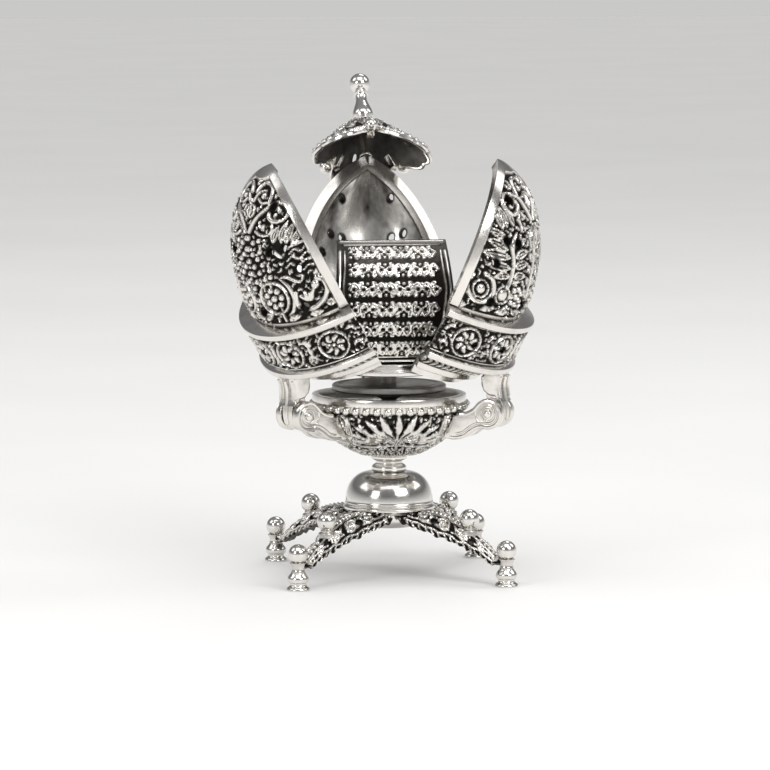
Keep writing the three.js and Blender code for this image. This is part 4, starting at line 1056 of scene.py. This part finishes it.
def petal(name):
    """One petal: its chased and pierced outside, seam bands, plain tip, lining and hinge strap."""
    rows, inner = petal_profile()
    columns = 175
    share = np.linspace(-1, 1, columns)
    half = PETAL_HALF_ANGLE - np.arcsin(np.minimum(SEAM_INSET / rows[:, 0], 0.9))
    chart = Relief(rows[:, :1] * half[:, None] * share, np.repeat(rows[:, 2:], columns, 1))
    for side in (False, True):
        chart.mirrored = side
        if name == "right":
            chart.mirrored = not side
            chase_right(chart)
            chase_bands(chart, (3.3, 9.6))
        else:
            chase_left(chart)
            chase_bands(chart, (2.8, 9.5))
    length = chart.y
    edge = rows[:, :1] * half[:, None] * (1 - np.abs(share))
    field = np.clip((edge - BAND_WIDTH) / 0.12, 0, 1)
    dome = length > DOME_START + 0.05
    chased = length > DOME_START + 0.3
    for low, high in (LOW_CHASING, MIDDLE_CHASING):
        chased |= (length > low) & (length < high)
    worked = chased * np.where(dome, field * np.clip((TIP_START - length) / 0.15, 0, 1), 1.0)
    chart.height *= worked
    chart.mirrored = False
    chart.fill(0.95, 7, worked > 0.9)
    chart.fill(0.62, 8, worked > 0.9, 0.21)
    for azimuth, rise in ((-34, 0.12), (0, 0.12), (34, 0.12), (-40, 0.4), (40, 0.4), (-35, 0.57), (-23, 0.57),
                          (23, 0.57), (35, 0.57), (-36, 0.83), (36, 0.83)):
        row = int(np.argmin(np.abs(rows[:, 1] - EGG_SHOULDER - DOME_HEIGHT * rise)))
        chart.window(rows[row, 0] * radians(azimuth), rows[row, 2], 0.55)
    for azimuth in (-36, -13, 13, 36):
        chart.window(13.2 * radians(azimuth), 10.85, 0.42)
    band = BAND_HEIGHT * np.clip(1 - (np.maximum(edge, 0) - BAND_WIDTH + 0.12) / 0.24, 0, 1) * dome
    tip = BAND_HEIGHT * np.clip((chart.y - TIP_START) / 0.25, 0, 1)
    chart.height = np.maximum(chart.height, np.maximum(band, tip) * (chart.y > DOME_START + 0.05))
    bright = chart.brightness(2.8, worked)
    radius, height = read_off(rows, rows[:, 2], chart.y)
    turn = chart.x / np.maximum(radius, 0.05)
    outer = ringed(radius, turn, height)
    outer = outer + outward(outer) * chart.height[..., None]
    inner_radius, inner_height = read_off(inner, rows[:, 2], chart.y)
    inner_half = PETAL_HALF_ANGLE - np.arcsin(np.minimum(SEAM_INSET / np.maximum(inner_radius, 0.21), 0.9))
    inner_turn = turn / half[:, None] * inner_half
    lining_edge = inner_radius * (inner_half - np.abs(inner_turn))
    lip = 0.22 * np.clip(1 - (lining_edge - 1.1) / 0.25, 0, 1) * (chart.y > 15)
    inside = ringed(inner_radius, inner_turn, inner_height)
    inside = inside - outward(inside) * lip[..., None]
    lining = np.where(lip > 0.1, 0.95, 0.62 + 0.38 * mottle(lip.shape, 7, 5) + 0.12 * mottle(lip.shape, 2, 9))
    # Painted shade darkens the lining round the pierced openings too
    lining = lining * (1 - chart.opening_shade)
    piece = Casting().add(shell(outer, inside, bright, lining, cut=chart.cut[:-1, :-1]), lifted(EGG_BOTTOM))
    add_hinge_strap(piece)
    piece.finish(f"petal_{name}", "shell", "oxidised_silver", body=f"petal_{name}",
                 place=lambda p: opened(name, p))


def add_hinge_strap(piece):
    """The scrolled strap under the petal: slim between the cheeks, broad above them, ridged at its edges."""
    inner = spline_through([(13.6, 22.4), (13.35, 23.4), (12.7, 24.3), (12.1, 24.9)], 5).tolist()
    root = [(11.6, 25.8), (12.1, 27.2), (13.7, 27.6)]
    outer = spline_through([(14.0, 27.0), (14.3, 25.9), (15.15, 24.6), (16.2, 23.3), (16.68, 22.1)]).tolist()
    piece.add(plate(inner + root + outer, 2.0, 0.18), standing)
    clear = [(HINGE_RADIUS + 2.4 * cos(radians(a)), HINGE_HEIGHT + 2.4 * sin(radians(a)))
             for a in (68, 84, 100, 118)]
    broad = [p for p in outer if np.hypot(p[0] - HINGE_RADIUS, p[1] - HINGE_HEIGHT) > 2.45]
    piece.add(plate(broad + clear + [(12.7, 24.3), (12.1, 24.9)] + root, 3.7, 0.3), standing)
    for across in (-1.5, 0, 1.5):
        path = np.array([(x + 0.02, across, z) for x, z in (broad if across else outer)])
        piece.add(wire(path, 0.2 if across else 0.28))
    barrel = softened([[0.66, -1.0], [1.7, -1.0], [1.86, -0.84], [1.7, -0.62], [1.86, -0.4], [1.86, 0.4],
                       [1.7, 0.62], [1.86, 0.84], [1.7, 1.0], [0.66, 1.0], [0.66, -1.0]], 0.08, 3)
    piece.add(turned(barrel, 64), lambda p: lying(p) + [HINGE_RADIUS, 0, HINGE_HEIGHT])


# ------------------------------------------------------------------ plaque and its carrier

def add_post_disc_and_plinth():
    post = softened([[0, 17.3], [1.8, 17.3], [1.8, 18.0], [1.0, 18.7], [1.0, 23.18], [1.8, 23.6], [1.8, 24.3],
                     [1.0, 24.3], [1.0, PLINTH_BOTTOM], [0, PLINTH_BOTTOM]], 0.15)
    turning("centre_post", post, 48, relief=0.45)
    disc = softened([[1.06, 24.3], [7.1, 24.3], [7.5, 24.5], [7.5, 25.1], [7.25, DISC_TOP], [6.6, DISC_TOP],
                     [6.45, 25.2], [6.2, 25.2], [6.05, DISC_TOP], [1.06, DISC_TOP], [1.06, 24.3]], 0.1, 3)
    turning("inner_disc", disc, 128, relief=0.5)
    low, tier, top = PLINTH_BOTTOM, PLINTH_BOTTOM + 0.75, PLINTH_TOP
    plinth = softened([[0, low], [7.3, low], [7.4, low + 0.1], [7.4, tier - 0.1], [7.25, tier], [6.75, tier],
                       [6.7, tier + 0.1], [6.7, top - 0.1], [6.55, top], [0, top]], 0.08, 3)
    turning("plaque_plinth", plinth, 128)


def scroll_plaque():
    """An upright sheet that bellies forward and curls back, with a border and rows of running scrolls."""
    def bezier(a, b, c, t):
        a, b, c = (np.array(p, float) for p in (a, b, c))
        return (1 - t) ** 2 * a + 2 * t * (1 - t) * b + t * t * c
    t = np.linspace(0, 1, 90)[:, None]
    s = np.linspace(0, 1, 62)[1:, None]
    front = np.vstack([bezier((-4.4, PLINTH_TOP), (-6.5, 33.26), (-6.1, PLAQUE_BEND), t),
                       bezier((-6.1, PLAQUE_BEND), (-5.49, 41.26), (-2.0, PLAQUE_TOP), s)])
    back = np.vstack([bezier((-3.4, PLINTH_TOP), (-5.5, 33.26), (-5.1, PLAQUE_BEND), t),
                      bezier((-5.1, PLAQUE_BEND), (-4.49, 40.26), (-1.3, 43.45), s)])
    arc = lengths_along(front)
    width = np.interp(front[:, 1], [PLINTH_TOP, PLAQUE_BEND - 1.1, PLAQUE_BEND, PLAQUE_TOP + 1.1],
                      [6.5, 7.7, 7.7, 7.1])
    share = np.linspace(-1, 1, 123)
    chart = Relief(width[:, None] * share, np.repeat(arc[:, None], len(share), 1))
    for inset, thick in ((0.42, 0.2), (1.0, 0.14)):
        for side in (-1, 1):
            edge = [(side * (w - inset), y) for w, y in zip(width[4:-4:12], arc[4:-4:12])]
            chart.line(edge, thick, 0.34)
        for y in (inset, arc[-1] - inset):
            w = float(np.interp(y, arc, width)) - inset
            chart.line([(-w, y), (0, y), (w, y)], thick, 0.34)
    count = 5
    for k, y in enumerate(np.linspace(2.2, arc[-1] - 2.3, 6)):
        reach = float(np.interp(y, arc, width)) - 1.75
        pitch = 2 * reach / count
        for j in range(count):
            x, flip = -reach + pitch * (j + 0.5), 1 if (j + k) % 2 else -1
            chart.line([(x - pitch * 0.5, y), (x - pitch * 0.27, y + 0.78 * flip), (x, y + 0.3 * flip),
                        (x, y - 0.3 * flip), (x + pitch * 0.27, y - 0.78 * flip), (x + pitch * 0.5, y)], 0.25,
                       0.46, steps=5)
            for side in (-1, 1):
                chart.ring(x + side * pitch * 0.27, y - side * flip * 0.02, 0.36, 0.17, 0.44)
                chart.leaf((x + side * 0.15, y + side * flip * 0.5),
                           (x + side * pitch * 0.24, y + side * flip * 0.98), 0.2, 0, 0.42, False)
            chart.bead(x - pitch * 0.5, y + 0.7 * flip, 0.26, 0.42)
            chart.bead(x - pitch * 0.5, y - 0.75 * flip, 0.26, 0.42)
    face, rear = (np.stack([chart.x, *read_off(side, arc, chart.y)], -1) for side in (front, back))
    face = face + outward(face) * (chart.height[..., None] * 0.7)
    lift = np.clip((chart.y / arc[-1] - 0.55) / 0.3, 0, 1) * 0.22
    Casting().add(shell(face, rear, chart.brightness(2.6) + lift, 0.55)).finish(
        "scroll_plaque", "casting", "oxidised_silver")


# ------------------------------------------------------------------ crown

def canopy_surface(radius, from_lobe):
    """Height of the canopy: it falls from its collar to its lobes, and deeper between them."""
    out = np.clip((radius - CANOPY_COLLAR) / (CANOPY_LOBE - CANOPY_COLLAR), 0, None)
    droop = 1.1 * np.minimum(1, 2 * out) * np.sin(1.5 * from_lobe) ** 2
    return CROWN_TOP - out ** 1.15 * CANOPY_HEIGHT - droop


def crown_canopy():
    """Three chased lobes with a ruffled, beaded rim, the boss under them and the pendants' straps."""
    around = 360
    azimuth = np.linspace(0, 360, around, endpoint=False)
    from_lobe = np.radians((azimuth - 90 - CANOPY_TURN + 60) % 120 - 60)
    leaf = np.clip(np.cos(1.5 * from_lobe), 0, None) ** 1.1
    ruffle = np.abs(np.sin(9 * from_lobe))
    rim = CANOPY_VALLEY - 0.1 + (CANOPY_RIM - CANOPY_VALLEY) * leaf + 0.32 * ruffle * leaf
    share = np.concatenate([np.linspace(1, 0.02, 56), [0.004]])
    radius = share[:, None] * rim[None]
    lobe = np.repeat(from_lobe[None], len(share), 0)
    chart = Relief(radius * np.sin(lobe), radius * np.cos(lobe))
    for side in (False, True):
        chart.mirrored = side
        chart.line([(0.5, 1.9), (0.9, 3.4), (1.3, 5.0), (1.2, 6.6), (0.5, 8.0)], 0.26, 0.45)
        chart.volute(1.9, 4.4, 0.8, 1.2, 200, -1, 0.22, 0.42, 0.26)
        chart.leaf((0.9, 5.6), (2.3, 6.2), 0.4, 0.1)
        chart.leaf((0.7, 6.9), (1.7, 7.5), 0.32, 0.1)
        chart.leaf((1.3, 2.3), (3.0, 3.2), 0.42, -0.1)
        chart.comma((2.4, 2.0), (3.4, 2.5), 0.2, 0.3)
    chart.mirrored = False
    for y in np.arange(2.6, 8.6, 0.62):
        chart.bead(0, y, 0.26, 0.5)
    ring = np.abs(share[:, None] - 0.955) / 0.045
    chart.height = np.maximum(chart.height, 0.42 * np.sqrt(np.clip(1 - ring ** 2, 0, 1)) * np.ones(around))
    bead = np.abs(share[:, None] - 0.86) < 0.05
    chart.height = np.maximum(chart.height, bead * 0.3 * np.abs(np.sin(np.radians(azimuth) * 30))[None])
    chart.fill(0.8, 6, share[:, None] * np.ones(around) < 0.82, 0.26)
    for side in (False, True):
        chart.mirrored = side
        chart.window(0.75, 4.1, 0.3, 0.6)
        chart.window(0.72, 5.7, 0.28, 0.5)
    new_radius = np.hypot(chart.x, chart.y)
    new_lobe = np.arctan2(chart.x, chart.y)
    turn = np.radians(azimuth)[None] + (new_lobe - lobe)
    height = canopy_surface(new_radius, new_lobe)
    top = ringed(new_radius, turn, height)
    under = top * [0.99, 0.99, 1] - [0, 0, CANOPY_WALL]
    top = top + outward(top, True) * (chart.height[..., None] * 0.8 - 0.1)
    bright = chart.brightness(2.6, 1.0, True)
    piece = Casting().add(shell(top, under, bright, 0.3, True, chart.cut[:-1]))
    foot, head = EGG_BOTTOM + EGG_HEIGHT + BAND_HEIGHT + 0.3, CROWN_TOP - 0.49
    boss = softened([[0, foot], [0.8, foot], [0.9, foot + 0.12], [0.9, foot + 0.5], [0.7, foot + 0.7],
                     [0.7, head - 0.6], [0.9, head - 0.3], [0.9, head], [0, head]], 0.08, 3)
    piece.add(turned(boss, 40), lambda p: p + [0, 1.2, 0])
    level = pendant_level()
    for direction in BETWEEN_PETALS:
        strap = [(3.3, level + 0.75), (4.3, level - 0.72), (5.0, level - 0.9), (5.0, level + 0.9),
                 (4.7, level + 0.75)]
        piece.add(plate(strap, 1.1, 0.12), lambda p: turned_about(direction, standing(p)))
    edge = ringed(rim * 0.985, np.radians(azimuth), canopy_surface(rim * 0.985, from_lobe) - 0.35)
    piece.add(wire(edge[::2], 0.36, closed=True))
    piece.finish("crown_canopy", "casting", "oxidised_silver", body="petal_back", place=with_crown)
    bead_row("crown_bead_row", with_crown(edge + [0, 0, 0.42]), 0.42, 54, "petal_back", 2)


def pendant_level():
    """Height of the balls that hang in the crown's arches."""
    return float(canopy_surface(np.array(CANOPY_VALLEY), np.array(pi / 3))) - CANOPY_WALL - 0.4


def add_pendants_and_finial():
    ball = [[0, -0.9]] + ball_profile(0.9, 0, -84, 24)
    level = pendant_level()
    for number, direction in enumerate(BETWEEN_PETALS, 1):
        turning(f"crown_pendant_{number}", ball, 48, lambda p: with_crown(at(6.2, direction, level, p)),
                body="petal_back")
    finial = [[0, 0], [1.3, 0], [1.36, 0.12], [1.3, 0.26], [1.02, 0.36], [1.0, 0.46], [1.22, 0.8],
              [1.43, 1.15], [1.47, 1.5], [1.42, 1.9], [1.28, 2.4], [1.1, 2.95], [0.92, 3.5], [0.8, 4.0],
              [0.78, 4.35], [0.82, 4.7], [0.95, 4.92], [1.05, 5.02], [0.98, 5.16], [0.9, 5.3]]
    finial = softened(finial, 0.12, 3).tolist() + ball_profile(1.42, 8.5 - 1.42, -58, 26)
    turning("finial", finial, 64, lambda p: with_crown(p + [0, 0, CROWN_TOP]), body="petal_back")


# ------------------------------------------------------------------ floor, light and camera

def add_floor():
    """A wide pale floor, which is stage and no piece."""
    mesh = bpy.data.meshes.new("studio_floor")
    mesh.from_pydata([(-3, -3, 0), (3, -3, 0), (3, 3, 0), (-3, 3, 0)], [], [(0, 1, 2, 3)])
    material = bpy.data.materials.new("pale_floor")
    material.use_nodes = True
    tree = material.node_tree
    place = add_node(tree, "ShaderNodeTexCoord").outputs["Object"]
    noise = add_node(tree, "ShaderNodeTexNoise", Vector=place, Scale=14.0, Detail=3.0).outputs["Fac"]
    shader = tree.nodes["Principled BSDF"]
    shader.inputs["Roughness"].default_value = 0.6
    tree.links.new(color_ramp(tree, noise, (0.0, (0.66, 0.655, 0.645)), (1.0, (0.72, 0.715, 0.705))),
                   shader.inputs["Base Color"])
    mesh.materials.append(material)
    floor = bpy.data.objects.new("studio_floor", mesh)
    bpy.context.scene.collection.objects.link(floor)


def softbox(name, azimuth, elevation, distance, size, watts):
    """An area light that faces the middle of the egg."""
    data = bpy.data.lights.new(name, "AREA")
    data.shape, data.size, data.size_y, data.energy = "RECTANGLE", size[0], size[1], watts
    lamp = bpy.data.objects.new(name, data)
    bpy.context.scene.collection.objects.link(lamp)
    turn, rise = radians(azimuth), radians(elevation)
    away = Vector((cos(turn) * cos(rise), sin(turn) * cos(rise), sin(rise)))
    target = Vector(EGG_AXIS * MM) + Vector((0, 0, 0.03))
    lamp.location = target + away * distance
    lamp.rotation_euler = away.to_track_quat("Z", "Y").to_euler()


def add_light():
    """Softboxes, with a room that only shines in the silver behind an even backdrop."""
    softbox("softbox_right", 300, 32, 0.55, (0.26, 0.22), 1.1)
    softbox("softbox_left", 224, 22, 0.6, (0.14, 0.2), 0.6)
    softbox("softbox_back", 70, 50, 0.6, (0.2, 0.14), 0.3)
    softbox("softbox_top", 266, 66, 0.6, (0.5, 0.42), 1.0)
    softbox("softbox_seam_right", 4, 42, 0.6, (0.3, 0.3), 0.5)
    softbox("softbox_seam_left", 176, 42, 0.6, (0.3, 0.3), 0.4)
    world = bpy.data.worlds.new("studio")
    bpy.context.scene.world = world
    world.use_nodes = True
    tree = world.node_tree
    ray = add_node(tree, "ShaderNodeLightPath").outputs
    away = add_node(tree, "ShaderNodeTexCoord").outputs["Generated"]
    upward = add_node(tree, "ShaderNodeSeparateXYZ", away).outputs["Z"]
    room = color_ramp(tree, upward, (0.0, (0.74, 0.74, 0.735)), (1.0, (0.3, 0.3, 0.305)),
                      (0.07, (0.60, 0.60, 0.60)), (0.3, (0.15, 0.15, 0.155)))
    shine = add_node(tree, "ShaderNodeMixRGB", ray["Is Glossy Ray"], (0.97, 0.97, 0.97, 1), room)
    seen = add_node(tree, "ShaderNodeMixRGB", ray["Is Camera Ray"], shine.outputs["Color"],
                    (0.585, 0.583, 0.577, 1))
    tree.links.new(seen.outputs["Color"], tree.nodes["Background"].inputs["Color"])


def add_camera():
    """The photograph's camera, with the feet and the egg's axis on the pixels where it shows them."""
    turn = radians(270) - VIEW_TURN
    back = Vector((cos(turn) * cos(VIEW_RISE), sin(turn) * cos(VIEW_RISE), sin(VIEW_RISE)))
    right = Vector((cos(VIEW_TURN), -sin(VIEW_TURN), 0))
    target = Vector(EGG_AXIS * MM) + right * ((PICTURE_SIDE / 2 - AXIS_PIXEL) / PIXELS_PER_MM * MM)
    target.z += (FEET_PIXEL - PICTURE_SIDE / 2) / (PIXELS_PER_MM * cos(VIEW_RISE)) * MM
    data = bpy.data.cameras.new("photo_camera")
    data.sensor_width = 36
    data.lens = VIEW_DISTANCE / MM * PIXELS_PER_MM / PICTURE_SIDE * data.sensor_width
    camera = bpy.data.objects.new("photo_camera", data)
    bpy.context.scene.collection.objects.link(camera)
    camera.location = target + back * VIEW_DISTANCE
    camera.rotation_euler = back.to_track_quat("Z", "Y").to_euler()
    bpy.context.scene.camera = camera


add_camera()
add_feet()
add_hub_dome_and_neck()
bowl()
bowl_beads()
for side in PETAL_AZIMUTH:
    bracket(side)
    hinge_pin(side)
    petal(side)
add_post_disc_and_plinth()
scroll_plaque()
crown_canopy()
add_pendants_and_finial()
add_floor()
add_light()
bpy.context.scene.view_settings.view_transform = "Standard"

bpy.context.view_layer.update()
